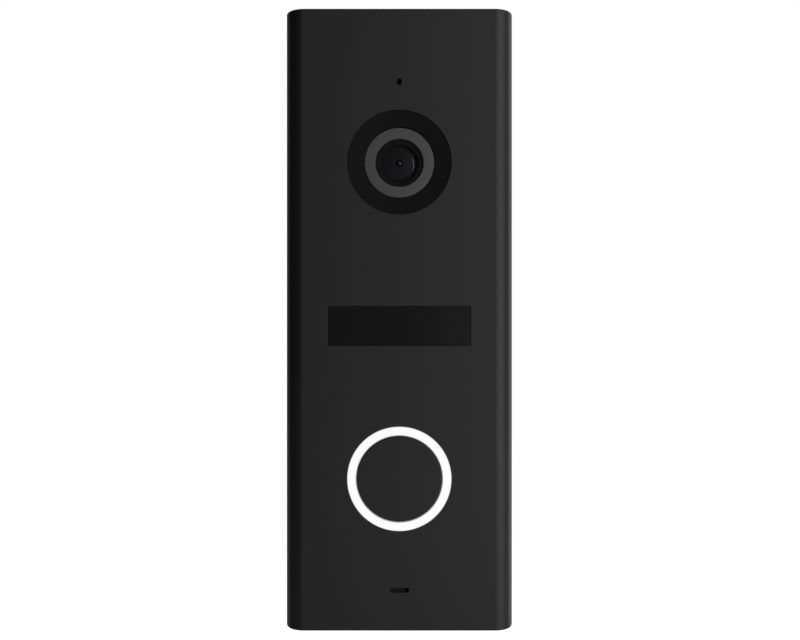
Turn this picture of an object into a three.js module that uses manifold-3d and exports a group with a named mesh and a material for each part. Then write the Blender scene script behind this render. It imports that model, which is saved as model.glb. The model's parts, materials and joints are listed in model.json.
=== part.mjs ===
// Wall-mounted video doorbell, in millimetres.
//
// An extruded aluminium shell is closed by two plastic ends and a rear cover, and hangs on a folded
// steel bracket. X points right and Z up. The front faces -Y and the wall is the plane Y = 0.
// The origin is the middle of the bracket's back face.
//
// "front" and "back" always name depths along Y, and the front is the smaller number.

import * as THREE from 'three';
import { mergeVertices } from 'three/addons/utils/BufferGeometryUtils.js';
import Module from 'manifold-3d';

const wasm = await Module();
wasm.setup();

// ---------------------------------------------------------------- driving dimensions

// Whole doorbell
const width = 45;
const height = 122;
const depth = 22;

// Front shell
const shellWall = 2;
const edgeRadius = 3.75;
const shellSetback = 0.5;
const minimumInnerRadius = 0.1;
const ledgeReach = 2;
const ledgeThickness = 1.5;

// Clearances
const slip = 0.1;
const running = 0.1;
const bayGap = 0.5;
const cutMargin = 1;
const weldOverlap = 0.1;
const rubberFit = 0.02;

// Stack of layers behind the front wall
const frontBay = 8;
const boardThickness = 1.6;
const gasketThickness = 0.8;
const coverThickness = 2;
const bracketThickness = 1.2;
const bracketGap = 0.5;

// Ends
const endWall = 2;
const lockBay = 3;
const lockBayWidth = 12;
const lockBayWall = 1.3;

// Rear cover
const coverCorner = 0.6;
const pocketWall = 1;
const pocketHeadroom = 1;
const cameraPadSize = 3;
const cameraPadInset = 2.5;
const pillarWall = 1.3;
const plugHeadLip = 1.1;
const plugHeadDepth = 0.8;
const plugNose = 0.6;
const plugTaper = 0.5;

// Fasteners
const housingScrewRadius = 1.2;
const housingScrewHeadRadius = 2.3;
const housingScrewHeadHeight = 1.3;
const housingScrewReach = 3.5;
const standoffAcrossFlats = 5;
const standoffInset = 5.3;
const standoffBoreSpare = 1;
const upperScrewInset = 9;
const lowerScrewInset = 12;
const lockScrewRadius = 1.5;
const lockScrewHeadRadius = 2.7;
const lockScrewHeadHeight = 1.3;
const lockScrewDepth = 5;
const driveWidth = 0.6;
const driveDepth = 0.8;

// Wall bracket
const bracketSideGap = 1;
const bracketCorner = 3;
const lockFlangeWidth = 10;
const lockFlangeReach = 8.5;
const hookWidth = 5;
const hookSpacing = 14;
const hookDrop = 14.2;
const hookReach = 4.2;
const hookRise = 3.5;
const hookWindow = 5.5;
const cableOpeningWidth = 14;
const cableOpeningHeight = 20;
const cableDrop = 20;
const wallSlotWidth = 4.4;
const wallSlotLength = 8;
const upperSlotInset = 20;
const lowerSlotInset = 14;

// Cable inlet
const grommetBoreRadius = 3.2;
const grommetWall = 1.5;
const grommetLip = 1.3;
const grommetLipThickness = 1.2;

// Camera
const cameraDrop = 30.1;
const bezelRadius = 10.22;
const bezelSink = 0.2;
const bezelDish = 0.4;
const bezelLip = 1.48;
const bezelLipThickness = 1.1;
const bezelSleeveWall = 1.4;
const bezelSleeveLength = 4.6;
const lensHeadRadius = 6.9;
const lensHeadSink = 0.7;
const lensHeadLength = 4.4;
const lensThreadRadius = 6;
const lensElementRadius = 3.9;
const lensElementThickness = 1.6;
const lensDomeHeight = 0.85;
const lensStopRadius = 2.4;
const rearElementRadius = 3.2;
const rearElementThickness = 1.6;
const retainerOuterRadius = 4.7;
const retainerInnerRadius = 3.5;
const retainerSink = 0.5;
const retainerThickness = 0.9;
const retainerBevelWidth = 0.35;
const retainerBevelDepth = 0.4;
const rimChamfer = 0.2;
const oRingRadius = 0.36;
const oRingDepth = 3.2;
const holderSize = 14.6;
const holderRise = 1.5;
const holderStepDepth = 0.4;
const barrelStandOff = 0.3;
const holderFlangeThickness = 2;
const cameraBoardWidth = 22;
const cameraBoardHeight = 20;
const cameraBoardThickness = 1;
const cameraScrewRadius = 0.9;
const cameraScrewSpacing = 18.4;
const cameraScrewHeadRadius = 1.75;
const cameraScrewHeadHeight = 1;
const cameraScrewTip = 0.3;
const cameraDriveLength = 1.9;
const cameraDriveWidth = 0.4;
const cameraDriveDepth = 0.5;
const filterSize = 8.2;
const filterThickness = 0.5;
const sensorSize = 7;
const sensorThickness = 0.8;
const ribbonWidth = 6;
const ribbonThickness = 0.25;
const ribbonDrop = 10;
const ribbonLanding = 3;
const ribbonBendDrop = 6;

// Infrared window
const windowWidth = 28;
const windowHeight = 7.7;
const windowDrop = 1.05;
const windowSink = 0.05;
const windowLip = 1.4;
const windowLipThickness = 1;
const tapeThickness = 0.4;
const ledRadius = 1.5;
const ledBaseRadius = 1.9;
const ledHeight = 5.3;
const ledBaseHeight = 1;
const lightSensorRadius = 2.5;
const lightSensorHeight = 4;
const lightSensorRim = 0.5;
const lightSensorRecess = 0.4;

// Call button
const ringOuterRadius = 10.25;
const ringInnerRadius = 8.45;
const ringLip = 1.55;
const ringLipThickness = 1;
const capSink = 0.05;
const capFace = 1.7;
const capWall = 1;
const capChamfer = 0.25;
const capLugCount = 3;
const capLugWidth = 4;
const capLugReach = 0.9;
const capLugThickness = 0.9;
const stemRadius = 2.2;
const switchSize = 6;
const switchBaseHeight = 3.5;
const switchHeight = 5;
const plungerRadius = 1.75;
const plungerGrip = 0.9;
const plungerTravelRoom = 0.5;
const ringLedCount = 4;
const ringLedLength = 3;
const ringLedWidth = 1.4;
const ringLedHeight = 0.7;

// Sound
const speakerWidth = 24;
const speakerHeight = 15;
const speakerDepth = 4.5;
const speakerWall = 0.8;
const speakerMagnetRadius = 4.6;
const speakerMagnetDepth = 2;
const speakerGasketWidth = 1.4;
const diaphragmThickness = 0.35;
const diaphragmDomeHeight = 0.4;
const soundSlotWidth = 3.65;
const soundSlotHeight = 0.92;
const soundSlotDepth = 0.7;
const soundSlotCorner = 0.28;
const soundSlotRise = 8;
const soundHoleRadius = 0.45;
const microphoneRadius = 3;
const microphoneHeight = 2.2;
const microphoneHoleWidth = 0.95;
const microphoneHoleHeight = 1.3;
const microphonePinRadius = 0.25;
const microphonePinSpacing = 2.54;
const bootWall = 0.55;
const bootMouthRadius = 0.8;

// Main board and what it carries
const boardSideGap = 3;
const boardCorner = 1;
const rowGap = 2;
const trimmerSize = 6.4;
const trimmerHeight = 2.2;
const trimmerRotorRadius = 2.45;
const trimmerRotorHeight = 1.2;
const trimmerX = 8;
const trimmerDrop = 14;
const trimmerSlotLength = 3.4;
const trimmerSlotWidth = 0.7;
const headerWidth = 12.4;
const headerLength = 9;
const headerHeight = 5.8;
const headerPins = 4;
const headerPitch = 2.5;
const headerWall = 0.8;
const headerPinSize = 0.6;
const headerX = 7;
const processorSize = 11;
const processorThickness = 1.3;
const processorCorner = 0.4;
const processorDimpleRadius = 0.5;
const processorDimpleDepth = 0.1;
const processorDimpleInset = 1.3;
const processorX = -9;
const capacitorRadius = 4;
const capacitorHeight = 5.8;
const capacitorCrimpHeight = 1.5;
const capacitorCrimpDepth = 0.25;
const capacitorX = -11;

// Sides of round pieces, by how closely they are seen
const fineSides = 44;
const plainSides = 20;
const smallSides = 12;
const tinySides = 8;

// ---------------------------------------------------------------- derived depths and heights

const frontFace = -depth;
const wallInside = frontFace + shellWall;
const shellBack = -shellSetback;
const coverBack = -(bracketThickness + bracketGap);
const coverFront = coverBack - coverThickness;
const ledgeBack = coverFront - gasketThickness;
const ledgeFront = ledgeBack - ledgeThickness;
const boardFront = wallInside + frontBay;
const boardBack = boardFront + boardThickness;

const halfWidth = width / 2;
const halfHeight = height / 2;
const insideHalfWidth = halfWidth - shellWall;
const insideTop = halfHeight - endWall;
const insideBottom = -halfHeight + endWall;
const lowerLedgeBottom = insideBottom + lockBay;
const lowerLedgeTop = lowerLedgeBottom + ledgeReach;
const upperLedgeBottom = insideTop - ledgeReach;

const bezelLipRadius = bezelRadius + bezelLip;
const ringLipRadius = ringOuterRadius + ringLip;
const speakerZ = insideBottom + bayGap + speakerHeight / 2;
const buttonZ = speakerZ + speakerHeight / 2 + bayGap + ringLipRadius;
const cameraZ = halfHeight - cameraDrop;
const windowZ = (cameraZ + buttonZ) / 2 - windowDrop;
const bootRadius = microphoneRadius + bootWall;
const microphoneZ = cameraZ + bezelLipRadius + bayGap + bootRadius;
const soundSlotZ = -halfHeight + soundSlotRise;
const soundHoleX = soundSlotWidth / 2 - soundHoleRadius + slip;

const screwX = insideHalfWidth - standoffInset;
const screwTopZ = insideTop - upperScrewInset;
const screwBottomZ = insideBottom + lowerScrewInset;
const screwPlaces = [
  [-screwX, screwTopZ],
  [screwX, screwTopZ],
  [-screwX, screwBottomZ],
  [screwX, screwBottomZ],
];

const hookZ = halfHeight - hookDrop;
const hookSides = [-1, 1];
const cableZ = -cableDrop;
const trimmerZ = cableZ - trimmerDrop;

// Rows of components on the back of the main board, below the end of the camera's ribbon
const ribbonEndZ = cameraZ - cameraBoardHeight / 2 - ribbonDrop;
const upperRowZ = ribbonEndZ - rowGap - headerLength / 2;
const capacitorZs = [cableZ + capacitorRadius, cableZ - capacitorRadius - rowGap];

// ---------------------------------------------------------------- finishes

const finishes = {
  anodised: { color: 0x1d1e20, roughness: 0.45, metalness: 0.7 },
  blackPlastic: { color: 0x17181a, roughness: 0.55, metalness: 0 },
  glossBlack: { color: 0x0c0c0d, roughness: 0.18, metalness: 0 },
  smokedAcrylic: { color: 0x101012, roughness: 0.1, metalness: 0 },
  whiteDiffuser: { color: 0xf6f6f4, roughness: 0.5, metalness: 0 },
  greyMetal: { color: 0x3f4043, roughness: 0.5, metalness: 0.6 },
  lensGlass: { color: 0x14161c, roughness: 0.05, metalness: 0 },
  zincSteel: { color: 0xa9acb0, roughness: 0.4, metalness: 0.9 },
  brass: { color: 0xb08d4a, roughness: 0.35, metalness: 0.9 },
  rubber: { color: 0x1b1b1b, roughness: 0.85, metalness: 0 },
  circuitBoard: { color: 0x1f4a2c, roughness: 0.6, metalness: 0 },
  chip: { color: 0x202124, roughness: 0.6, metalness: 0 },
  ivoryPlastic: { color: 0xd9d4c4, roughness: 0.6, metalness: 0 },
  amberFilm: { color: 0xa8641e, roughness: 0.45, metalness: 0 },
  clearResin: { color: 0xcfd6e0, roughness: 0.15, metalness: 0 },
  aluminiumCan: { color: 0xbfc2c6, roughness: 0.3, metalness: 0.9 },
};

function part(name, geometry, finish) {
  const mesh = new THREE.Mesh(geometry, new THREE.MeshStandardMaterial(finishes[finish]));
  mesh.name = name;
  return mesh;
}

// ---------------------------------------------------------------- solids

function toSolid(geometry) {
  const bare = geometry.clone();
  bare.deleteAttribute('normal');
  bare.deleteAttribute('uv');
  const welded = mergeVertices(bare);
  const corners = welded.index.array;
  const triangles = [];
  for (let i = 0; i < corners.length; i += 3) {
    const [a, b, c] = [corners[i], corners[i + 1], corners[i + 2]];
    if (a !== b && b !== c && c !== a) {
      triangles.push(a, b, c);
    }
  }
  return new wasm.Manifold(new wasm.Mesh({
    numProp: 3,
    vertProperties: new Float32Array(welded.attributes.position.array),
    triVerts: new Uint32Array(triangles),
  }));
}

function toGeometry(solid) {
  const { vertProperties, triVerts } = solid.getMesh();
  const geometry = new THREE.BufferGeometry();
  geometry.setAttribute('position', new THREE.BufferAttribute(vertProperties, 3));
  geometry.setIndex(new THREE.BufferAttribute(triVerts, 1));
  geometry.computeVertexNormals();
  return geometry;
}

function join(...pieces) {
  return toGeometry(pieces.map(toSolid).reduce((whole, piece) => whole.add(piece)));
}

function cut(base, ...tools) {
  return toGeometry(tools.map(toSolid).reduce((whole, tool) => whole.subtract(tool), toSolid(base)));
}

// A box centred on (x, z).
function block(wide, high, front, back, x = 0, z = 0) {
  return new THREE.BoxGeometry(wide, back - front, high).translate(x, (front + back) / 2, z);
}

// A cylinder along Y, centred on (x, z).
function rod(radius, front, back, x = 0, z = 0, sides = plainSides) {
  return new THREE.CylinderGeometry(radius, radius, back - front, sides)
    .translate(x, (front + back) / 2, z);
}

// A body turned about Y from a closed or axis-to-axis profile of [radius, depth] pairs.
function turned(profile, sides = plainSides) {
  const points = profile.map(([radius, y]) => new THREE.Vector2(radius, y));
  if (THREE.ShapeUtils.area(points) < 0) {
    points.reverse();
  }
  const onAxis = points[0].x === 0 && points.at(-1).x === 0;
  if (!onAxis) {
    points.push(points[0].clone());
  }
  return new THREE.LatheGeometry(points, sides);
}

// A flat ring along Y.
function ring(outerRadius, innerRadius, front, back, sides = plainSides) {
  return turned([
    [innerRadius, front],
    [outerRadius, front],
    [outerRadius, back],
    [innerRadius, back],
  ], sides);
}

// An outline in X and Z, given thickness along Y.
function plate(outline, front, back, curveSegments = 6) {
  return new THREE.ExtrudeGeometry(outline, { depth: back - front, bevelEnabled: false, curveSegments })
    .rotateX(Math.PI / 2)
    .translate(0, back, 0);
}

// An outline in X and Y, drawn out along Z.
function bar(outline, bottom, top, curveSegments = 10) {
  return new THREE.ExtrudeGeometry(outline, { depth: top - bottom, bevelEnabled: false, curveSegments })
    .translate(0, 0, bottom);
}

// A rectangle with round corners, centred on (x, z). A radius of half its height makes a slot.
function roundedRectangle(wide, high, radius, x = 0, z = 0) {
  const right = x + wide / 2 - radius;
  const left = x - wide / 2 + radius;
  const top = z + high / 2 - radius;
  const bottom = z - high / 2 + radius;
  const outline = new THREE.Shape();
  outline.absarc(right, top, radius, 0, Math.PI / 2);
  outline.absarc(left, top, radius, Math.PI / 2, Math.PI);
  outline.absarc(left, bottom, radius, Math.PI, Math.PI * 1.5);
  outline.absarc(right, bottom, radius, Math.PI * 1.5, Math.PI * 2);
  outline.closePath();
  return outline;
}

// A section in X and Y whose two front corners are round.
function roundFrontedSection(halfSpan, front, back, radius) {
  const section = new THREE.Shape();
  section.moveTo(-halfSpan, back);
  section.lineTo(-halfSpan, front + radius);
  section.absarc(-halfSpan + radius, front + radius, radius, Math.PI, Math.PI * 1.5);
  section.absarc(halfSpan - radius, front + radius, radius, Math.PI * 1.5, Math.PI * 2);
  section.lineTo(halfSpan, back);
  section.closePath();
  return section;
}

// A countersunk screw along Y: its head faces the back at headBack and its tip ends at tipFront.
function countersunkScrew(radius, headRadius, headHeight, tipFront, headBack) {
  const tipRadius = radius * 0.6;
  const screw = turned([
    [0, tipFront],
    [tipRadius, tipFront],
    [radius, tipFront + radius],
    [radius, headBack - headHeight],
    [headRadius, headBack],
    [0, headBack],
  ], smallSides);
  const driveLength = headRadius * 1.2;
  return cut(
    screw,
    block(driveLength, driveWidth, headBack - driveDepth, headBack + cutMargin),
    block(driveWidth, driveLength, headBack - driveDepth, headBack + cutMargin),
  );
}

// The hole that such a screw passes through.
function countersunkHole(radius, headRadius, headHeight, front, headBack) {
  const bore = radius + slip;
  return turned([
    [0, front],
    [bore, front],
    [bore, headBack - headHeight],
    [headRadius + slip, headBack],
    [headRadius + slip, headBack + cutMargin],
    [0, headBack + cutMargin],
  ], smallSides);
}

// ---------------------------------------------------------------- housing

// The rib along one side wall that carries the gasket. Its root is sunk into the wall.
function sealingLedge(side, clearance = 0) {
  const root = shellWall / 2;
  const reach = ledgeReach + root + 2 * clearance;
  const middle = side * (insideHalfWidth + root + clearance - reach / 2);
  return block(reach, height, ledgeFront - clearance, ledgeBack + clearance, middle, 0);
}

const innerEdgeRadius = Math.max(edgeRadius - shellWall, minimumInnerRadius);

function frontShell() {
  const outside = roundFrontedSection(halfWidth, frontFace, shellBack, edgeRadius);
  const inside = roundFrontedSection(
    insideHalfWidth, wallInside, shellBack + cutMargin, innerEdgeRadius);
  const channel = cut(
    bar(outside, -halfHeight, halfHeight),
    bar(inside, -halfHeight - cutMargin, halfHeight + cutMargin),
  );
  const throughFront = frontFace - cutMargin;
  const throughBack = wallInside + slip;
  return cut(
    join(channel, sealingLedge(-1), sealingLedge(1)),
    rod(bezelRadius + slip, throughFront, throughBack, 0, cameraZ, fineSides),
    rod(ringOuterRadius + slip / 2, throughFront, throughBack, 0, buttonZ, fineSides),
    block(windowWidth, windowHeight, throughFront, throughBack, 0, windowZ),
    plate(
      roundedRectangle(microphoneHoleWidth, microphoneHoleHeight, microphoneHoleWidth / 2, 0, microphoneZ),
      throughFront, throughBack),
    plate(
      roundedRectangle(soundSlotWidth, soundSlotHeight, soundSlotCorner, 0, soundSlotZ),
      throughFront, frontFace + soundSlotDepth, 2),
    rod(soundHoleRadius, throughFront, throughBack, soundHoleX, soundSlotZ, smallSides),
  );
}

// The flat wall of either end, notched for the shell's ledges.
function endPlate(bottom, top) {
  const section = roundFrontedSection(insideHalfWidth - slip, wallInside + slip, shellBack, innerEdgeRadius);
  return cut(bar(section, bottom, top), sealingLedge(-1, slip), sealingLedge(1, slip));
}

const ledgeSpan = 2 * (insideHalfWidth - ledgeReach - slip);

function topEndCap() {
  return join(
    endPlate(insideTop, halfHeight),
    block(ledgeSpan, ledgeReach + weldOverlap, ledgeFront, ledgeBack, 0,
      insideTop - (ledgeReach - weldOverlap) / 2),
  );
}

function bottomEndCap() {
  const blockFront = -(lockFlangeReach + bayGap + lockBayWall);
  const blockHeight = lowerLedgeTop - insideBottom + weldOverlap;
  const solidEnd = join(
    endPlate(-halfHeight, insideBottom),
    block(ledgeSpan, blockHeight, blockFront, ledgeBack, 0, lowerLedgeTop - blockHeight / 2),
  );
  const screwHole = countersunkHole(
    lockScrewRadius, lockScrewHeadRadius, lockScrewHeadHeight, -endWall - cutMargin, 0);
  return cut(
    solidEnd,
    block(lockBayWidth, lockBay, blockFront + lockBayWall, ledgeBack + cutMargin, 0,
      insideBottom + lockBay / 2),
    screwHole.rotateX(-Math.PI / 2).translate(0, -lockScrewDepth, -halfHeight),
  );
}

function housingGasket() {
  const outerHalf = insideHalfWidth - bayGap;
  const innerHalf = insideHalfWidth - ledgeReach + slip;
  const outerTop = insideTop - slip;
  const outerBottom = lowerLedgeBottom + slip;
  const innerTop = upperLedgeBottom + slip;
  const innerBottom = lowerLedgeTop - slip;
  return cut(
    block(2 * outerHalf, outerTop - outerBottom, ledgeBack, coverFront, 0, (outerTop + outerBottom) / 2),
    block(2 * innerHalf, innerTop - innerBottom, ledgeBack - cutMargin, coverFront + cutMargin, 0,
      (innerTop + innerBottom) / 2),
  );
}

const pillarRadius = housingScrewRadius + slip + pillarWall;
const pocketWidth = hookWidth + 2 * bayGap;
const pocketBottom = hookZ - bracketThickness - pocketHeadroom;
const pocketTop = hookZ + bracketThickness + hookRise + bayGap;
const pocketFront = -(bracketThickness + hookReach + bayGap);
const slotTop = hookZ + bracketThickness + slip;
const grommetNeckRadius = grommetBoreRadius + grommetWall;
const plugRadius = trimmerRotorRadius;
const plugHeadRadius = plugRadius + plugHeadLip;

function coverHookPocket(x) {
  const high = pocketTop - pocketBottom;
  return block(pocketWidth + 2 * pocketWall, high + 2 * pocketWall, pocketFront - pocketWall,
    coverFront + weldOverlap, x, (pocketTop + pocketBottom) / 2);
}

function coverHookHollow(x) {
  return join(
    block(pocketWidth, pocketTop - pocketBottom, pocketFront, coverFront, x, (pocketTop + pocketBottom) / 2),
    block(pocketWidth, slotTop - pocketBottom, pocketFront, coverBack + cutMargin, x,
      (slotTop + pocketBottom) / 2),
  );
}

function rearCover() {
  const top = insideTop - slip;
  const bottom = lowerLedgeBottom + slip;
  const outline = roundedRectangle(
    2 * (insideHalfWidth - slip), top - bottom, coverCorner, 0, (top + bottom) / 2);
  const hookXs = hookSides.map((side) => side * hookSpacing / 2);
  const padX = cameraBoardWidth / 2 - cameraPadInset;
  const padZ = cameraBoardHeight / 2 - cameraPadInset;
  const cameraPads = [-padX, padX].flatMap((x) => [-padZ, padZ].map((z) => block(
    cameraPadSize, cameraPadSize, cameraBoardBack, coverFront + weldOverlap, x, cameraZ + z)));
  const solid = join(
    plate(outline, coverFront, coverBack, 3),
    ...screwPlaces.map(([x, z]) => rod(pillarRadius, boardBack, coverFront + weldOverlap, x, z, smallSides)),
    ...cameraPads,
    ...hookXs.map(coverHookPocket),
  );
  const screwHole = countersunkHole(
    housingScrewRadius, housingScrewHeadRadius, housingScrewHeadHeight, boardBack - cutMargin, coverBack);
  return cut(
    solid,
    ...screwPlaces.map(([x, z]) => screwHole.clone().translate(x, 0, z)),
    ...hookXs.map(coverHookHollow),
    rod(grommetNeckRadius, coverFront - cutMargin, coverBack + cutMargin, 0, cableZ),
    rod(plugRadius, coverFront - cutMargin, coverBack + cutMargin, trimmerX, trimmerZ, smallSides),
    rod(plugHeadRadius + slip, coverBack - plugHeadDepth, coverBack + cutMargin, trimmerX, trimmerZ,
      smallSides),
  );
}

function standoff() {
  const body = rod(standoffAcrossFlats / Math.sqrt(3), wallInside, boardFront, 0, 0, 6);
  const boreFront = boardFront - housingScrewReach - standoffBoreSpare;
  return cut(body, rod(housingScrewRadius + slip, boreFront, boardFront + cutMargin, 0, 0, smallSides));
}

function housingScrew() {
  return countersunkScrew(housingScrewRadius, housingScrewHeadRadius, housingScrewHeadHeight,
    boardFront - housingScrewReach, coverBack);
}

function trimmerPlug() {
  return turned([
    [0, coverFront - plugNose],
    [plugRadius - plugTaper, coverFront - plugNose],
    [plugRadius - rubberFit, coverFront],
    [plugRadius - rubberFit, coverBack - plugHeadDepth],
    [plugHeadRadius, coverBack - plugHeadDepth],
    [plugHeadRadius, coverBack],
    [0, coverBack],
  ], smallSides);
}

function cableGrommet() {
  const lipRadius = grommetNeckRadius + grommetLip;
  return turned([
    [grommetBoreRadius, coverFront - grommetLipThickness],
    [lipRadius, coverFront - grommetLipThickness],
    [lipRadius, coverFront],
    [grommetNeckRadius - rubberFit, coverFront],
    [grommetNeckRadius - rubberFit, coverBack],
    [lipRadius, coverBack],
    [lipRadius, coverBack + grommetLipThickness],
    [grommetBoreRadius, coverBack + grommetLipThickness],
  ]);
}

// ---------------------------------------------------------------- wall bracket

const bracketHalfHeight = insideTop - bracketSideGap;

function bracketHook(x) {
  const legFront = -(bracketThickness + hookReach);
  const riser = bracketThickness + hookRise;
  return join(
    block(hookWidth, bracketThickness, legFront, 0, x, hookZ + bracketThickness / 2),
    block(hookWidth, riser, legFront, legFront + bracketThickness, x, hookZ + riser / 2),
  );
}

function wallBracket() {
  const outline = roundedRectangle(
    2 * (insideHalfWidth - bracketSideGap), 2 * bracketHalfHeight, bracketCorner);
  const windowMiddle = hookZ + bracketThickness + hookWindow / 2;
  const hookXs = hookSides.map((side) => side * hookSpacing / 2);
  const through = [-bracketThickness - cutMargin, cutMargin];
  const sheet = cut(
    plate(outline, -bracketThickness, 0),
    plate(roundedRectangle(cableOpeningWidth, cableOpeningHeight, cableOpeningWidth / 2, 0, cableZ),
      ...through, 10),
    plate(roundedRectangle(wallSlotLength, wallSlotWidth, wallSlotWidth / 2, 0, halfHeight - upperSlotInset),
      ...through),
    plate(roundedRectangle(wallSlotWidth, wallSlotLength, wallSlotWidth / 2, 0, lowerSlotInset - halfHeight),
      ...through),
    ...hookXs.map((x) => block(hookWidth, hookWindow, ...through, x, windowMiddle)),
  );
  const lockFlange = block(
    lockFlangeWidth, bracketThickness, -lockFlangeReach, 0, 0, -bracketHalfHeight + bracketThickness / 2);
  const lockThread = new THREE.CylinderGeometry(
    lockScrewRadius + slip, lockScrewRadius + slip, 2 * bracketThickness + cutMargin, smallSides)
    .rotateX(Math.PI / 2)
    .translate(0, -lockScrewDepth, -bracketHalfHeight);
  return cut(join(sheet, lockFlange, ...hookXs.map(bracketHook)), lockThread);
}

function lockScrew() {
  return countersunkScrew(
    lockScrewRadius, lockScrewHeadRadius, lockScrewHeadHeight, bayGap - endWall - lockBay, 0)
    .rotateX(-Math.PI / 2)
    .translate(0, -lockScrewDepth, -halfHeight);
}

// ---------------------------------------------------------------- camera, about its own axis

const headFront = frontFace + lensHeadSink;
const headBack = headFront + lensHeadLength;
const bezelFront = frontFace + bezelSink;
const bezelBore = lensHeadRadius + slip;
const bezelBack = frontFace + bezelSleeveLength;
const oRingY = frontFace + oRingDepth;
const retainerFront = headFront + retainerSink;
const retainerBack = retainerFront + retainerThickness;
const holderStep = boardBack + holderStepDepth;
const barrelBack = holderStep - barrelStandOff;
const rearSeat = barrelBack - rearElementThickness - bayGap;
const flangeBack = boardBack + holderFlangeThickness;
const cameraBoardBack = flangeBack + cameraBoardThickness;
const cameraScrewXs = [-cameraScrewSpacing / 2, cameraScrewSpacing / 2];

function cameraBezel() {
  const grooveRadius = lensHeadRadius + 2 * oRingRadius + slip;
  return turned([
    [bezelBore, bezelFront + bezelDish],
    [bezelRadius, bezelFront],
    [bezelRadius, wallInside],
    [bezelLipRadius, wallInside],
    [bezelLipRadius, wallInside + bezelLipThickness],
    [bezelBore + bezelSleeveWall, wallInside + bezelLipThickness],
    [bezelBore + bezelSleeveWall, bezelBack],
    [bezelBore, bezelBack],
    [bezelBore, oRingY + oRingRadius + slip],
    [grooveRadius, oRingY + oRingRadius + slip],
    [grooveRadius, oRingY - oRingRadius - slip],
    [bezelBore, oRingY - oRingRadius - slip],
  ], fineSides);
}

function lensORing() {
  return new THREE.TorusGeometry(lensHeadRadius + oRingRadius + slip / 2, oRingRadius, 6, plainSides)
    .rotateX(Math.PI / 2)
    .translate(0, oRingY, 0);
}

function lensBarrel() {
  const elementBore = lensElementRadius + slip;
  return turned([
    [retainerOuterRadius + slip / 4, headFront],
    [lensHeadRadius - rimChamfer, headFront],
    [lensHeadRadius, headFront + rimChamfer],
    [lensHeadRadius, headBack],
    [lensThreadRadius, headBack],
    [lensThreadRadius, barrelBack],
    [rearElementRadius + slip, barrelBack],
    [rearElementRadius + slip, rearSeat],
    [lensStopRadius, rearSeat],
    [lensStopRadius, retainerBack + lensElementThickness],
    [elementBore, retainerBack + lensElementThickness],
    [elementBore, retainerBack],
    [retainerOuterRadius + slip / 4, retainerBack],
  ]);
}

function lensRetainingRing() {
  return turned([
    [retainerInnerRadius + retainerBevelWidth, retainerFront],
    [retainerOuterRadius, retainerFront],
    [retainerOuterRadius, retainerBack],
    [retainerInnerRadius, retainerBack],
    [retainerInnerRadius, retainerFront + retainerBevelDepth],
  ]);
}

// Points along a spherical dome, from its rim to its crown on the axis.
function dome(rimRadius, rimY, rise, steps = 6) {
  const sphere = (rimRadius ** 2 + rise ** 2) / (2 * rise);
  const centreY = rimY - rise + sphere;
  const rimAngle = Math.asin(rimRadius / sphere);
  return Array.from({ length: steps }, (_, step) => {
    const angle = rimAngle * (1 - (step + 1) / steps);
    return [sphere * Math.sin(angle), centreY - sphere * Math.cos(angle)];
  });
}

function lensFrontElement() {
  const domeRim = retainerInnerRadius - slip;
  return turned([
    [0, retainerBack + lensElementThickness],
    [lensElementRadius, retainerBack + lensElementThickness],
    [lensElementRadius, retainerBack],
    [domeRim, retainerBack],
    ...dome(domeRim, retainerBack, lensDomeHeight),
  ], plainSides);
}

function lensRearElement() {
  const back = rearSeat + rearElementThickness;
  return turned([
    [0, back],
    [rearElementRadius, back - bayGap / 2],
    [rearElementRadius, rearSeat],
    [0, rearSeat],
  ], smallSides);
}

function lensHolder() {
  const cavity = filterSize + 2 * slip;
  const body = join(
    block(holderSize, holderSize, boardFront - holderRise, flangeBack),
    block(cameraBoardWidth, holderSize, boardBack, flangeBack),
  );
  return cut(
    body,
    rod(lensThreadRadius + running / 2, boardFront - holderRise - cutMargin, holderStep),
    block(cavity, cavity, holderStep, flangeBack + cutMargin),
    ...cameraScrewXs.map((x) => rod(cameraScrewRadius + slip, boardBack - cutMargin,
      flangeBack + cutMargin, x, 0, smallSides)),
  );
}

function irCutFilter() {
  return block(filterSize, filterSize, holderStep, holderStep + filterThickness);
}

function imageSensor() {
  return block(sensorSize, sensorSize, flangeBack - sensorThickness, flangeBack);
}

function cameraBoard() {
  return cut(
    block(cameraBoardWidth, cameraBoardHeight, flangeBack, cameraBoardBack),
    ...cameraScrewXs.map((x) => rod(cameraScrewRadius + slip, flangeBack - cutMargin,
      cameraBoardBack + cutMargin, x, 0, smallSides)),
  );
}

function cameraScrew() {
  const headTop = cameraBoardBack + cameraScrewHeadHeight;
  const body = turned([
    [0, boardFront - cameraScrewTip],
    [cameraScrewRadius, boardFront - cameraScrewTip],
    [cameraScrewRadius, cameraBoardBack],
    [cameraScrewHeadRadius, cameraBoardBack],
    [cameraScrewHeadRadius, headTop - rimChamfer],
    [cameraScrewHeadRadius - rimChamfer, headTop],
    [0, headTop],
  ], smallSides);
  return cut(
    body,
    block(cameraDriveLength, cameraDriveWidth, headTop - cameraDriveDepth, headTop + cutMargin),
    block(cameraDriveWidth, cameraDriveLength, headTop - cameraDriveDepth, headTop + cutMargin),
  );
}

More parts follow.
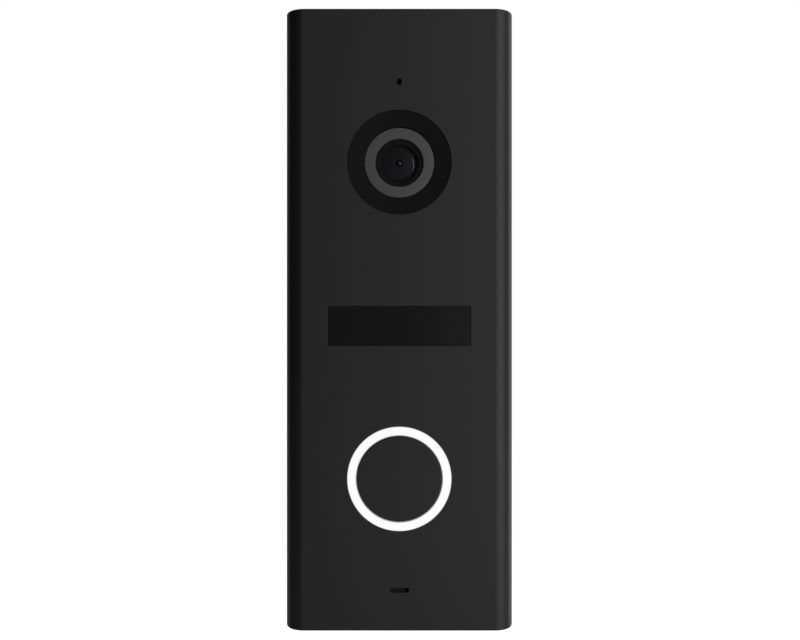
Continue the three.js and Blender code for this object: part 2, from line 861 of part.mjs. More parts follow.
// A flat strip that leaves the camera board, bends forward and lands on the main board.
function cameraRibbon() {
  const half = ribbonThickness / 2;
  const boardEdge = -cameraBoardHeight / 2;
  const upperY = cameraBoardBack + half;
  const lowerY = boardBack + half;
  const bendTop = boardEdge - bayGap;
  const bendMiddle = bendTop - ribbonBendDrop / 2;
  const bend = new THREE.CubicBezierCurve(
    new THREE.Vector2(upperY, bendTop),
    new THREE.Vector2(upperY, bendMiddle),
    new THREE.Vector2(lowerY, bendMiddle),
    new THREE.Vector2(lowerY, bendTop - ribbonBendDrop),
  );
  const route = [
    new THREE.Vector2(upperY, boardEdge + ribbonLanding),
    ...bend.getPoints(10),
    new THREE.Vector2(lowerY, boardEdge - ribbonDrop),
  ];
  const sideways = route.map((point, i) => {
    const before = route[Math.max(i - 1, 0)];
    const after = route[Math.min(i + 1, route.length - 1)];
    const along = after.clone().sub(before).normalize();
    return new THREE.Vector2(-along.y, along.x);
  });
  const left = route.map((point, i) => point.clone().addScaledVector(sideways[i], half));
  const right = route.map((point, i) => point.clone().addScaledVector(sideways[i], -half));
  const outline = new THREE.Shape([...left, ...right.reverse()]);
  return new THREE.ExtrudeGeometry(outline, { depth: ribbonWidth, bevelEnabled: false })
    .rotateY(Math.PI / 2)
    .rotateX(Math.PI / 2)
    .translate(-ribbonWidth / 2, 0, 0);
}

// ---------------------------------------------------------------- infrared window, about its centre

const windowLipWidth = windowWidth + 2 * windowLip;
const windowLipHeight = windowHeight + 2 * windowLip;

function irWindow() {
  const lipFront = wallInside + tapeThickness;
  return join(
    block(windowWidth - 2 * slip, windowHeight - 2 * slip, frontFace + windowSink, lipFront + slip),
    block(windowLipWidth, windowLipHeight, lipFront, lipFront + windowLipThickness),
  );
}

function irWindowTape() {
  return cut(
    block(windowLipWidth, windowLipHeight, wallInside, wallInside + tapeThickness),
    block(windowWidth, windowHeight, wallInside - cutMargin, wallInside + cutMargin),
  );
}

function irLed() {
  const front = boardFront - ledHeight;
  return turned([
    [0, boardFront],
    [ledBaseRadius, boardFront],
    [ledBaseRadius, boardFront - ledBaseHeight],
    [ledRadius, boardFront - ledBaseHeight],
    [ledRadius, front + ledRadius],
    ...dome(ledRadius, front + ledRadius, ledRadius, 4),
  ], smallSides);
}

function lightSensor() {
  const front = boardFront - lightSensorHeight;
  const faceRadius = lightSensorRadius - lightSensorRim;
  return turned([
    [0, boardFront],
    [lightSensorRadius, boardFront],
    [lightSensorRadius, front],
    [faceRadius, front],
    [faceRadius, front + lightSensorRecess],
    [0, front + lightSensorRecess],
  ], smallSides);
}

// ---------------------------------------------------------------- call button, about its own axis

const ringLipFront = wallInside + tapeThickness;
const ringLipBack = ringLipFront + ringLipThickness;
const capRadius = ringInnerRadius - running;
const capBack = ringLipBack + running + capLugThickness;
const plungerFront = boardFront - switchHeight;
const switchFront = boardFront - switchBaseHeight;
const plungerBack = switchFront + plungerGrip;

function callButton() {
  const front = frontFace + capSink;
  const faceBack = front + capFace;
  const cap = turned([
    [0, front],
    [capRadius - capChamfer, front],
    [capRadius, front + capChamfer],
    [capRadius, capBack],
    [capRadius - capWall, capBack],
    [capRadius - capWall, faceBack],
    [stemRadius, faceBack],
    [stemRadius, plungerFront - running],
    [0, plungerFront - running],
  ], fineSides);
  const lugs = Array.from({ length: capLugCount }, (_, i) => {
    const lugBottom = capRadius - capWall / 2;
    const lugTop = capRadius + capLugReach;
    return block(capLugWidth, lugTop - lugBottom, capBack - capLugThickness, capBack, 0,
      (lugTop + lugBottom) / 2).rotateY(i * 2 * Math.PI / capLugCount);
  });
  return join(cap, ...lugs);
}

function lightRing() {
  return turned([
    [ringInnerRadius, frontFace + capSink],
    [ringOuterRadius, frontFace + capSink],
    [ringOuterRadius, ringLipFront],
    [ringLipRadius, ringLipFront],
    [ringLipRadius, ringLipBack],
    [ringInnerRadius, ringLipBack],
  ], fineSides);
}

function lightRingSeal() {
  return ring(ringLipRadius, ringOuterRadius + slip, wallInside, ringLipFront, fineSides);
}

function ringLed(angle) {
  const ringMiddle = (ringOuterRadius + ringInnerRadius) / 2;
  return block(ringLedLength, ringLedWidth, boardFront - ringLedHeight, boardFront, 0, ringMiddle)
    .rotateY(angle);
}

function switchBase() {
  return cut(
    block(switchSize, switchSize, switchFront, boardFront),
    rod(plungerRadius + running, switchFront - cutMargin, plungerBack + plungerTravelRoom, 0, 0, smallSides),
  );
}

function switchPlunger() {
  return rod(plungerRadius, plungerFront, plungerBack, 0, 0, smallSides);
}

// ---------------------------------------------------------------- sound

const speakerFront = wallInside + tapeThickness;
const speakerBack = speakerFront + speakerDepth;

function speakerOutline(inset = 0) {
  const high = speakerHeight - 2 * inset;
  return roundedRectangle(speakerWidth - 2 * inset, high, high / 2);
}

function speakerGasket() {
  return cut(
    plate(speakerOutline(), wallInside, speakerFront),
    plate(speakerOutline(speakerGasketWidth), wallInside - cutMargin, speakerFront + cutMargin),
  );
}

function speakerFrame() {
  const diaphragmSeat = speakerFront + bayGap + diaphragmThickness;
  return cut(
    plate(speakerOutline(), speakerFront, speakerBack),
    plate(speakerOutline(speakerWall), speakerFront - cutMargin, diaphragmSeat),
    plate(speakerOutline(2 * speakerWall), diaphragmSeat - cutMargin, speakerBack - speakerWall),
    rod(speakerMagnetRadius - speakerWall, speakerBack - cutMargin, speakerBack + cutMargin),
  );
}

function speakerDiaphragm() {
  const front = speakerFront + bayGap;
  const surround = plate(speakerOutline(speakerWall + slip), front, front + diaphragmThickness);
  const domeRadius = speakerMagnetRadius - speakerWall;
  const domeCap = turned([
    [0, front + weldOverlap],
    [domeRadius, front + weldOverlap],
    ...dome(domeRadius, front, diaphragmDomeHeight, 4),
  ], smallSides);
  return join(surround, domeCap);
}

function speakerMagnet() {
  return rod(speakerMagnetRadius, speakerBack, speakerBack + speakerMagnetDepth);
}

function microphone() {
  const front = wallInside + bootWall;
  const back = front + microphoneHeight;
  const pinX = microphonePinSpacing / 2;
  const pins = [-pinX, pinX].map((x) => rod(
    microphonePinRadius, back - weldOverlap, boardFront, x, 0, tinySides));
  return join(rod(microphoneRadius, front, back), ...pins);
}

function microphoneBoot() {
  return turned([
    [bootMouthRadius, wallInside],
    [bootRadius, wallInside],
    [bootRadius, boardFront],
    [microphoneRadius, boardFront],
    [microphoneRadius, wallInside + bootWall],
    [bootMouthRadius, wallInside + bootWall],
  ]);
}

// ---------------------------------------------------------------- main board and its parts

function mainBoard() {
  const top = insideTop - bayGap;
  const bottom = lowerLedgeTop + bayGap;
  const outline = roundedRectangle(
    2 * (insideHalfWidth - boardSideGap), top - bottom, boardCorner, 0, (top + bottom) / 2);
  const front = boardFront - cutMargin;
  const back = boardBack + cutMargin;
  const cutout = holderSize + 2 * bayGap;
  return cut(
    plate(outline, boardFront, boardBack, 3),
    block(cutout, cutout, front, back, 0, cameraZ),
    ...screwPlaces.map(([x, z]) => rod(housingScrewRadius + slip, front, back, x, z, smallSides)),
    ...cameraScrewXs.map((x) => rod(cameraScrewRadius + slip, front, back, x, cameraZ, smallSides)),
  );
}

function videoProcessor() {
  const top = boardBack + processorThickness;
  const outline = roundedRectangle(processorSize, processorSize, processorCorner);
  const dimple = processorSize / 2 - processorDimpleInset;
  return cut(
    plate(outline, boardBack, top, 2),
    rod(processorDimpleRadius, top - processorDimpleDepth, top + cutMargin, -dimple, dimple, smallSides),
  );
}

function capacitor() {
  const top = boardBack + capacitorHeight;
  const crimp = boardBack + capacitorCrimpHeight;
  return turned([
    [0, boardBack],
    [capacitorRadius, boardBack],
    [capacitorRadius, crimp - capacitorCrimpDepth],
    [capacitorRadius - capacitorCrimpDepth, crimp],
    [capacitorRadius, crimp + capacitorCrimpDepth],
    [capacitorRadius, top - rimChamfer],
    [capacitorRadius - rimChamfer, top],
    [0, top],
  ]);
}

// A header whose mouth faces down, with its pins standing in it.
function cableHeader() {
  const back = boardBack + headerHeight;
  const floor = 2 * headerWall;
  const shell = cut(
    block(headerWidth, headerLength, boardBack, back),
    block(headerWidth - 2 * headerWall, headerLength, boardBack + headerWall, back - headerWall, 0, -floor),
  );
  const pinFront = boardBack + (headerHeight - headerPinSize) / 2;
  const pins = Array.from({ length: headerPins }, (_, i) => {
    const x = (i - (headerPins - 1) / 2) * headerPitch;
    return block(headerPinSize, headerLength - floor, pinFront, pinFront + headerPinSize, x, 0);
  });
  return join(shell, ...pins);
}

const rotorFront = boardBack + trimmerHeight - bayGap;
const rotorBack = rotorFront + trimmerRotorHeight;

function trimmerBase() {
  return cut(
    block(trimmerSize, trimmerSize, boardBack, boardBack + trimmerHeight),
    rod(trimmerRotorRadius + running, rotorFront - running, rotorBack, 0, 0, smallSides),
  );
}

function trimmerRotor() {
  return cut(
    rod(trimmerRotorRadius, rotorFront, rotorBack, 0, 0, smallSides),
    block(trimmerSlotLength, trimmerSlotWidth, rotorBack - trimmerSlotWidth, rotorBack + cutMargin),
    block(trimmerSlotWidth, trimmerSlotLength, rotorBack - trimmerSlotWidth, rotorBack + cutMargin),
  );
}

// ---------------------------------------------------------------- assembly

function placed(x, z, ...parts) {
  const place = new THREE.Group();
  place.position.set(x, 0, z);
  place.add(...parts);
  return place;
}

function housing() {
  const group = new THREE.Group();
  group.add(
    part('front_shell', frontShell(), 'anodised'),
    part('top_end_cap', topEndCap(), 'blackPlastic'),
    part('bottom_end_cap', bottomEndCap(), 'blackPlastic'),
    part('housing_gasket', housingGasket(), 'rubber'),
    part('rear_cover', rearCover(), 'blackPlastic'),
    placed(trimmerX, trimmerZ, part('trimmer_plug', trimmerPlug(), 'rubber')),
    placed(0, cableZ, part('cable_grommet', cableGrommet(), 'rubber')),
  );
  screwPlaces.forEach(([x, z], i) => {
    group.add(placed(
      x, z,
      part(`standoff_${i + 1}`, standoff(), 'brass'),
      part(`housing_screw_${i + 1}`, housingScrew(), 'zincSteel'),
    ));
  });
  return group;
}

function bracket() {
  const group = new THREE.Group();
  group.add(
    part('wall_bracket', wallBracket(), 'zincSteel'),
    part('lock_screw', lockScrew(), 'zincSteel'),
  );
  return group;
}

function camera() {
  const group = placed(
    0, cameraZ,
    part('camera_bezel', cameraBezel(), 'glossBlack'),
    part('lens_o_ring', lensORing(), 'rubber'),
    part('lens_barrel', lensBarrel(), 'greyMetal'),
    part('lens_retaining_ring', lensRetainingRing(), 'glossBlack'),
    part('lens_front_element', lensFrontElement(), 'lensGlass'),
    part('lens_rear_element', lensRearElement(), 'lensGlass'),
    part('lens_holder', lensHolder(), 'blackPlastic'),
    part('ir_cut_filter', irCutFilter(), 'lensGlass'),
    part('image_sensor', imageSensor(), 'chip'),
    part('camera_board', cameraBoard(), 'circuitBoard'),
    part('camera_ribbon', cameraRibbon(), 'amberFilm'),
  );
  cameraScrewXs.forEach((x, i) => {
    group.add(placed(x, 0, part(`camera_screw_${i + 1}`, cameraScrew(), 'zincSteel')));
  });
  return group;
}

// Two emitters stand on each side of the light sensor, spread over the window's width.
function infrared() {
  const pitch = windowWidth / 5;
  const ledXs = [-2, -1, 1, 2].map((place) => place * pitch);
  const group = placed(
    0, windowZ,
    part('ir_window', irWindow(), 'smokedAcrylic'),
    part('ir_window_tape', irWindowTape(), 'rubber'),
    part('light_sensor', lightSensor(), 'ivoryPlastic'),
  );
  ledXs.forEach((x, i) => {
    group.add(placed(x, 0, part(`ir_led_${i + 1}`, irLed(), 'clearResin')));
  });
  return group;
}

function button() {
  const group = placed(
    0, buttonZ,
    part('call_button', callButton(), 'anodised'),
    part('light_ring', lightRing(), 'whiteDiffuser'),
    part('light_ring_seal', lightRingSeal(), 'rubber'),
    part('switch_base', switchBase(), 'chip'),
    part('switch_plunger', switchPlunger(), 'blackPlastic'),
  );
  for (let i = 0; i < ringLedCount; i += 1) {
    const angle = (i + 0.5) * 2 * Math.PI / ringLedCount;
    group.add(part(`ring_led_${i + 1}`, ringLed(angle), 'ivoryPlastic'));
  }
  return group;
}

function sound() {
  const group = new THREE.Group();
  group.add(
    placed(
      0, speakerZ,
      part('speaker_gasket', speakerGasket(), 'rubber'),
      part('speaker_frame', speakerFrame(), 'blackPlastic'),
      part('speaker_diaphragm', speakerDiaphragm(), 'amberFilm'),
      part('speaker_magnet', speakerMagnet(), 'zincSteel'),
    ),
    placed(
      0, microphoneZ,
      part('microphone', microphone(), 'aluminiumCan'),
      part('microphone_boot', microphoneBoot(), 'rubber'),
    ),
  );
  return group;
}

function electronics() {
  const group = new THREE.Group();
  group.add(
    part('main_board', mainBoard(), 'circuitBoard'),
    placed(processorX, upperRowZ, part('video_processor', videoProcessor(), 'chip')),
    placed(headerX, upperRowZ, part('cable_header', cableHeader(), 'ivoryPlastic')),
    placed(
      trimmerX, trimmerZ,
      part('trimmer_base', trimmerBase(), 'chip'),
      part('trimmer_rotor', trimmerRotor(), 'ivoryPlastic'),
    ),
  );
  capacitorZs.forEach((z, i) => {
    group.add(placed(capacitorX, z, part(`capacitor_${i + 1}`, capacitor(), 'aluminiumCan')));
  });
  return group;
}

const group = new THREE.Group();
group.add(housing(), bracket(), camera(), infrared(), button(), sound(), electronics());

export default group;
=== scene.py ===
# Video doorbell: the looks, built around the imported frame. X right, Z up, and the front faces -Y.
#
# Mesh code works in millimetres, like the CAD, and each point is scaled to metres as its mesh is made.
# "front" and "back" are depths along Y, and the front is the smaller number.

import json
import math

import bmesh
import bpy
from mathutils import Matrix, Vector

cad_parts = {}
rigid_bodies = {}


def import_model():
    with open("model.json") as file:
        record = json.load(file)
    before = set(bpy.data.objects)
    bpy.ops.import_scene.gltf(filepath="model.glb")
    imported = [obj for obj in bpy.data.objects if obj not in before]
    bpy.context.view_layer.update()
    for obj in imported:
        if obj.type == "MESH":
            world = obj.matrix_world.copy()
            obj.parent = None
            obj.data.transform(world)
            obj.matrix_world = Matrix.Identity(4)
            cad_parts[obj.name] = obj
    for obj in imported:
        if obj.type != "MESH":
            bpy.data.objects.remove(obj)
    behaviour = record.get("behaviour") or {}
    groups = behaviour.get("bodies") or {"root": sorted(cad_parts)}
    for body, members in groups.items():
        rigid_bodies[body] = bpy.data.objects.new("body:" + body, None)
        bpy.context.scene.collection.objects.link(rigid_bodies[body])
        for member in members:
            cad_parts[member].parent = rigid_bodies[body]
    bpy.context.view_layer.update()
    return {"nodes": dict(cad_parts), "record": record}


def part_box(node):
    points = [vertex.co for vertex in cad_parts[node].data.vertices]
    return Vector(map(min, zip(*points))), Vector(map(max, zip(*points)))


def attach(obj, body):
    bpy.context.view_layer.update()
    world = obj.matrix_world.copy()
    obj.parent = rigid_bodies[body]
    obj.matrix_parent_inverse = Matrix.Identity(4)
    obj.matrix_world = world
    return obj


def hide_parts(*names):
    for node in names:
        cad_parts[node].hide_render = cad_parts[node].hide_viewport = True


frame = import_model()

MM = 0.001

FINE = 192
MEDIUM = 96
SMALL = 48

SMOOTH_ANGLE = math.radians(32)


# ---------------------------------------------------------------- places, read from the frame


def centre(node):
    """The middle of a CAD node, in millimetres."""
    low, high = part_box(node)
    return (low + high) / 2 / MM


def low_corner(node):
    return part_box(node)[0] / MM


def high_corner(node):
    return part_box(node)[1] / MM


SHELL_LOW = low_corner("front_shell")
SHELL_HIGH = high_corner("front_shell")
FRONT = SHELL_LOW.y
HALF_HEIGHT = SHELL_HIGH.z
HALF_WIDTH = SHELL_HIGH.x

RING_INNER_RADIUS = 8.45
RING_OUTER_RADIUS = 10.25


# ---------------------------------------------------------------- node-material helpers


def grey(level):
    return (level, level, level, 1)


def shade(colour, factor):
    return tuple(min(1.0, channel * factor) for channel in colour[:3]) + (1,)


class Graph:
    """A short way to write a material's node tree."""

    def __init__(self, name):
        self.material = bpy.data.materials.new(name)
        self.material.use_nodes = True
        self.tree = self.material.node_tree
        self.tree.nodes.clear()
        self.output = self.tree.nodes.new("ShaderNodeOutputMaterial")
        self.coordinates = self.tree.nodes.new("ShaderNodeTexCoord").outputs["Object"]

    def node(self, kind, **settings):
        made = self.tree.nodes.new(kind)
        for key, value in settings.items():
            setattr(made, key, value)
        return made

    def feed(self, source, target):
        """A number or colour is stored on the socket, and another node's output is linked to it."""
        if isinstance(source, (int, float, tuple)):
            target.default_value = source
        else:
            self.tree.links.new(source, target)

    def noise(self, scale, detail=4.0, stretch=(1, 1, 1)):
        mapping = self.node("ShaderNodeMapping")
        self.feed(self.coordinates, mapping.inputs["Vector"])
        mapping.inputs["Scale"].default_value = stretch
        made = self.node("ShaderNodeTexNoise")
        self.feed(mapping.outputs["Vector"], made.inputs["Vector"])
        made.inputs["Scale"].default_value = scale
        made.inputs["Detail"].default_value = detail
        made.inputs["Roughness"].default_value = 0.55
        return made.outputs["Fac"]

    def spread(self, source, low, high, start=0.0, stop=1.0):
        """A value between start and stop, stretched to low..high and held there."""
        made = self.node("ShaderNodeMapRange")
        self.feed(source, made.inputs["Value"])
        made.inputs["From Min"].default_value = start
        made.inputs["From Max"].default_value = stop
        made.inputs["To Min"].default_value = low
        made.inputs["To Max"].default_value = high
        return made.outputs["Result"]

    def maths(self, operation, first, second=0.0):
        made = self.node("ShaderNodeMath", operation=operation)
        self.feed(first, made.inputs[0])
        self.feed(second, made.inputs[1])
        return made.outputs[0]

    def mix(self, factor, first, second):
        """A blend of two colours. The node keeps its colour sockets at 6 and 7, and its result at 2."""
        made = self.node("ShaderNodeMix", data_type="RGBA")
        self.feed(factor, made.inputs[0])
        self.feed(first, made.inputs[6])
        self.feed(second, made.inputs[7])
        return made.outputs[2]

    def edges(self, radius=0.3 * MM):
        """1 along sharp edges and 0 on flats, broken up as real rubbing is."""
        rounded = self.node("ShaderNodeBevel", samples=4)
        rounded.inputs["Radius"].default_value = radius
        true_normal = self.node("ShaderNodeNewGeometry").outputs["Normal"]
        match = self.node("ShaderNodeVectorMath", operation="DOT_PRODUCT")
        self.feed(rounded.outputs["Normal"], match.inputs[0])
        self.feed(true_normal, match.inputs[1])
        mask = self.spread(match.outputs["Value"], 1, 0, start=0.8, stop=0.99)
        return self.maths("MULTIPLY", mask, self.spread(self.noise(scale=900), 0, 1, start=0.4, stop=0.65))

    def axis_distance(self, x, z):
        """How far a point is from an axis along Y through (x, z), in millimetres."""
        shift = self.node("ShaderNodeVectorMath", operation="SUBTRACT")
        self.feed(self.coordinates, shift.inputs[0])
        shift.inputs[1].default_value = (x * MM, 0, z * MM)
        flatten = self.node("ShaderNodeVectorMath", operation="MULTIPLY")
        self.feed(shift.outputs["Vector"], flatten.inputs[0])
        flatten.inputs[1].default_value = (1, 0, 1)
        length = self.node("ShaderNodeVectorMath", operation="LENGTH")
        self.feed(flatten.outputs["Vector"], length.inputs[0])
        return self.maths("DIVIDE", length.outputs["Value"], MM)

    def bump(self, height, distance, strength):
        made = self.node("ShaderNodeBump")
        self.feed(height, made.inputs["Height"])
        made.inputs["Distance"].default_value = distance
        made.inputs["Strength"].default_value = strength
        return made.outputs["Normal"]

    def shader(self, colour, roughness, normal, **fixed):
        """Finishes the material. Fixed values are socket names in lower case with _ for a space."""
        made = self.node("ShaderNodeBsdfPrincipled")
        sockets = {socket.name.lower().replace(" ", "_"): socket for socket in made.inputs}
        self.feed(colour, sockets["base_color"])
        self.feed(roughness, sockets["roughness"])
        self.feed(normal, sockets["normal"])
        for name, value in fixed.items():
            sockets[name].default_value = value
        self.feed(made.outputs["BSDF"], self.output.inputs["Surface"])
        return made


# ---------------------------------------------------------------- materials


def anodised(name, level, rough, specular):
    """Black anodised extrusion: faint lines along its length, a fine even grain, cloudy dye."""
    g = Graph(name)
    cloud = g.noise(scale=45, detail=3)
    grain = g.noise(scale=7000, detail=2)
    drawn = g.noise(scale=2600, detail=2, stretch=(1, 1, 0.01))
    tone = g.mix(g.mix(0.4, cloud, drawn), grey(level * 0.8), grey(level * 1.2))
    worn = g.mix(g.maths("MULTIPLY", g.edges(radius=0.2 * MM), 0.25), tone, grey(level * 4))
    roughness = g.spread(g.mix(0.5, grain, drawn), rough - 0.05, rough + 0.05)
    normal = g.bump(g.mix(0.35, grain, drawn), distance=0.004 * MM, strength=0.5)
    g.shader(worn, roughness, normal, specular_ior_level=specular)
    return g.material


def moulded(name, colour, rough, texture_scale=2600, specular=0.5):
    """Moulded plastic with a fine spark-eroded texture."""
    g = Graph(name)
    texture = g.noise(scale=texture_scale, detail=3)
    tone = g.mix(g.noise(scale=60, detail=3), shade(colour, 0.85), shade(colour, 1.15))
    worn = g.mix(g.maths("MULTIPLY", g.edges(), 0.3), tone, shade(colour, 2.5))
    roughness = g.spread(texture, rough - 0.08, rough + 0.08)
    normal = g.bump(texture, distance=0.01 * MM, strength=0.5)
    g.shader(worn, roughness, normal, specular_ior_level=specular)
    return g.material


def polished(name, level, rough, specular):
    """Smooth dark plastic with a trace of haze and fine wipe marks."""
    g = Graph(name)
    haze = g.noise(scale=160, detail=5)
    wipe = g.noise(scale=700, detail=2, stretch=(1, 1, 14))
    tone = g.mix(haze, grey(level * 0.8), grey(level * 1.3))
    worn = g.mix(g.maths("MULTIPLY", g.edges(radius=0.15 * MM), 0.3), tone, grey(level * 5))
    roughness = g.spread(g.mix(0.4, haze, wipe), rough * 0.7, rough * 1.4)
    g.shader(worn, roughness, g.bump(wipe, distance=0.001 * MM, strength=0.3), specular_ior_level=specular)
    return g.material


def rubber(name, level):
    """Dull black rubber, cloudy and finely pitted."""
    g = Graph(name)
    texture = g.noise(scale=1800, detail=4)
    tone = g.mix(g.noise(scale=90), grey(level * 0.7), grey(level * 1.5))
    worn = g.mix(g.maths("MULTIPLY", g.edges(), 0.4), tone, grey(level * 4))
    normal = g.bump(texture, distance=0.02 * MM, strength=0.5)
    g.shader(worn, g.spread(texture, 0.7, 0.9), normal, specular_ior_level=0.3)
    return g.material


def metal(name, colour, rough, stretch=(1, 1, 1)):
    """Plated or machined metal with fine directional lines and rubbed edges."""
    g = Graph(name)
    brushed = g.noise(scale=1500, detail=3, stretch=stretch)
    tone = g.mix(g.mix(0.5, brushed, g.noise(scale=70)), shade(colour, 0.78), shade(colour, 1.1))
    worn = g.mix(g.maths("MULTIPLY", g.edges(), 0.5), tone, shade(colour, 1.4))
    roughness = g.spread(brushed, rough - 0.08, rough + 0.1)
    g.shader(worn, roughness, g.bump(brushed, distance=0.006 * MM, strength=0.5), metallic=1.0)
    return g.material


def turned_metal(name, level, rough):
    """Satin grey lens barrel with the fine rings that a lathe leaves round its axis."""
    g = Graph(name)
    axis = centre("lens_barrel")
    radius = g.axis_distance(axis.x, axis.z)
    lathe_pitch = 0.114
    rings = g.maths("SINE", g.maths("MULTIPLY", radius, 2 * math.pi / lathe_pitch))
    cloud = g.noise(scale=220, detail=3)
    pattern = g.mix(0.5, g.spread(rings, 0, 1, start=-1), cloud)
    tone = g.mix(pattern, grey(level * 0.93), grey(level * 1.07))
    worn = g.mix(g.maths("MULTIPLY", g.edges(radius=0.12 * MM), 0.5), tone, grey(level * 1.8))
    normal = g.bump(rings, distance=0.002 * MM, strength=0.4)
    g.shader(worn, g.spread(cloud, rough - 0.05, rough + 0.05), normal, specular_ior_level=0.35)
    return g.material


def glowing(name, level, strength):
    """Milky ring lit from behind: a very even white with a slight mottle, dimmer at its edges."""
    dim, inner_fade, outer_fade = 0.15, 0.24, 0.16
    g = Graph(name)
    axis = centre("light_ring")
    radius = g.axis_distance(axis.x, axis.z)
    from_inside = g.spread(radius, dim, 1, start=RING_INNER_RADIUS, stop=RING_INNER_RADIUS + inner_fade)
    from_outside = g.spread(radius, 1, dim, start=RING_OUTER_RADIUS - outer_fade, stop=RING_OUTER_RADIUS)
    mottle = g.noise(scale=500, detail=3)
    tone = g.mix(mottle, grey(level * 0.97), grey(level))
    lit = g.maths("MULTIPLY", g.maths("MULTIPLY", from_inside, from_outside), strength)
    body = g.mix(lit, grey(level * 0.5), tone)
    normal = g.bump(mottle, distance=0.004 * MM, strength=0.2)
    shader = g.shader(body, g.spread(mottle, 0.42, 0.55), normal, specular_ior_level=0.3)
    g.feed(tone, shader.inputs["Emission Color"])
    g.feed(lit, shader.inputs["Emission Strength"])
    return g.material


def lens_glass(name):
    """Coated front element: dark, with the darker pupil behind its middle painted on as shade."""
    g = Graph(name)
    axis = centre("lens_front_element")
    radius = g.axis_distance(axis.x, axis.z)
    # Painted shade: the dark, shaded inside of the lens is painted into the base colour as a darker pupil
    # in the middle.
    pupil_shade_mask = g.spread(radius, 0, 1, start=0.65, stop=0.9)
    inner_ring = g.spread(radius, 0, 1, start=2.2, stop=2.35)
    haze = g.noise(scale=400, detail=3)
    iris = g.mix(inner_ring, (0.018, 0.018, 0.019, 1), (0.02, 0.02, 0.021, 1))
    pupil_shade_and_iris = g.mix(pupil_shade_mask, (0.004, 0.004, 0.0045, 1), iris)
    tone = g.mix(haze, pupil_shade_and_iris, g.mix(0.3, pupil_shade_and_iris, (0.018, 0.015, 0.026, 1)))
    normal = g.bump(haze, distance=0.0003 * MM, strength=0.2)
    g.shader(tone, g.spread(haze, 0.02, 0.05), normal, specular_ior_level=0.015)
    return g.material


def clear_resin(name):
    """Water-clear lamp casting with a faint blue haze."""
    g = Graph(name)
    haze = g.noise(scale=400, detail=3)
    tone = g.mix(haze, (0.45, 0.5, 0.58, 1), (0.62, 0.68, 0.78, 1))
    normal = g.bump(haze, distance=0.002 * MM, strength=0.2)
    g.shader(tone, g.spread(haze, 0.06, 0.14), normal, coat_weight=0.6)
    return g.material


MATERIALS = {
    "anodised_black": anodised("anodised_black", level=0.0125, rough=0.33, specular=0.43),
    "black_plastic": moulded("black_plastic", grey(0.012), rough=0.5, specular=0.4),
    "gloss_black": polished("gloss_black", level=0.0122, rough=0.36, specular=0.03),
    "smoked_window": polished("smoked_window", level=0.0038, rough=0.16, specular=0.2),
    "ring_diffuser": glowing("ring_diffuser", level=0.95, strength=0.66),
    "lens_metal": turned_metal("lens_metal", level=0.09, rough=0.5),
    "lens_glass": lens_glass("lens_glass"),
    "zinc_steel": metal("zinc_steel", (0.56, 0.57, 0.6), rough=0.38, stretch=(14, 1, 1)),
    "brass": metal("brass", (0.65, 0.47, 0.2), rough=0.3),
    "black_rubber": rubber("black_rubber", level=0.012),
    "circuit_board": moulded("circuit_board", (0.012, 0.06, 0.025, 1), rough=0.45, texture_scale=900),
    "chip_black": moulded("chip_black", grey(0.02), rough=0.6, texture_scale=3000),
    "ivory_plastic": moulded("ivory_plastic", (0.6, 0.56, 0.48, 1), rough=0.5),
    "amber_film": moulded("amber_film", (0.35, 0.14, 0.03, 1), rough=0.35),
    "clear_resin": clear_resin("clear_resin"),
    "aluminium_can": metal("aluminium_can", (0.7, 0.71, 0.73), rough=0.3),
}

SLOTS = {row["node"]: row["material_slot"] for row in frame["record"]["subparts"]}
BODIES = {node: body for body, nodes in frame["record"]["behaviour"]["bodies"].items() for node in nodes}


def paint(obj, slot):
    obj.data.materials.clear()
    obj.data.materials.append(MATERIALS[slot])


# ---------------------------------------------------------------- loops of points, in millimetres


def circle(radius, y, x=0.0, z=0.0, sides=FINE):
    """Round the Y axis at (x, z)."""
    turns = [2 * math.pi * i / sides for i in range(sides)]
    return [(x + radius * math.cos(turn), y, z + radius * math.sin(turn)) for turn in turns]


def arc(x, y, radius, start, stop, steps):
    """Points on part of a circle in a plane, with angles in degrees."""
    turns = [math.radians(start + (stop - start) * i / steps) for i in range(steps + 1)]
    return [(x + radius * math.cos(turn), y + radius * math.sin(turn)) for turn in turns]


def rectangle(wide, high, radius, y, x=0.0, z=0.0, steps=8):
    """A rectangle in X and Z with round corners, centred on (x, z)."""
    right, left = x + wide / 2 - radius, x - wide / 2 + radius
    top, bottom = z + high / 2 - radius, z - high / 2 + radius
    corners = (
        arc(right, top, radius, 0, 90, steps)
        + arc(left, top, radius, 90, 180, steps)
        + arc(left, bottom, radius, 180, 270, steps)
        + arc(right, bottom, radius, 270, 360, steps)
    )
    return [(px, y, pz) for px, pz in corners]


def round_fronted(half_span, front, back, radius, z, steps=24):
    """A section in X and Y whose two front corners are round, at a height z."""
    corners = (
        [(half_span, back)]
        + arc(half_span - radius, front + radius, radius, 0, -90, steps)
        + arc(-half_span + radius, front + radius, radius, -90, -180, steps)
        + [(-half_span, back)]
    )
    return [(x, y, z) for x, y in corners]


# ---------------------------------------------------------------- meshes


def skin(name, loops, closed=False):
    """A solid through a row of loops with equal numbers of points.

    A closed one joins its last loop to its first. The others are capped at both ends.
    """
    made = bmesh.new()
    rows = [[made.verts.new(Vector(point) * MM) for point in loop] for loop in loops]
    count = len(rows[0])
    pairs = list(zip(rows, rows[1:]))
    if closed:
        pairs.append((rows[-1], rows[0]))
    for upper, lower in pairs:
        for i in range(count):
            j = (i + 1) % count
            made.faces.new((upper[i], upper[j], lower[j], lower[i]))
    if not closed:
        made.faces.new(rows[0])
        made.faces.new(rows[-1])
    bmesh.ops.recalc_face_normals(made, faces=made.faces)
    mesh = bpy.data.meshes.new(name)
    made.to_mesh(mesh)
    made.free()
    return mesh


def turned(name, profile, x=0.0, z=0.0, sides=FINE, closed=False):
    """A body turned about Y from (radius, depth) pairs."""
    return skin(name, [circle(radius, y, x, z, sides) for radius, y in profile], closed)


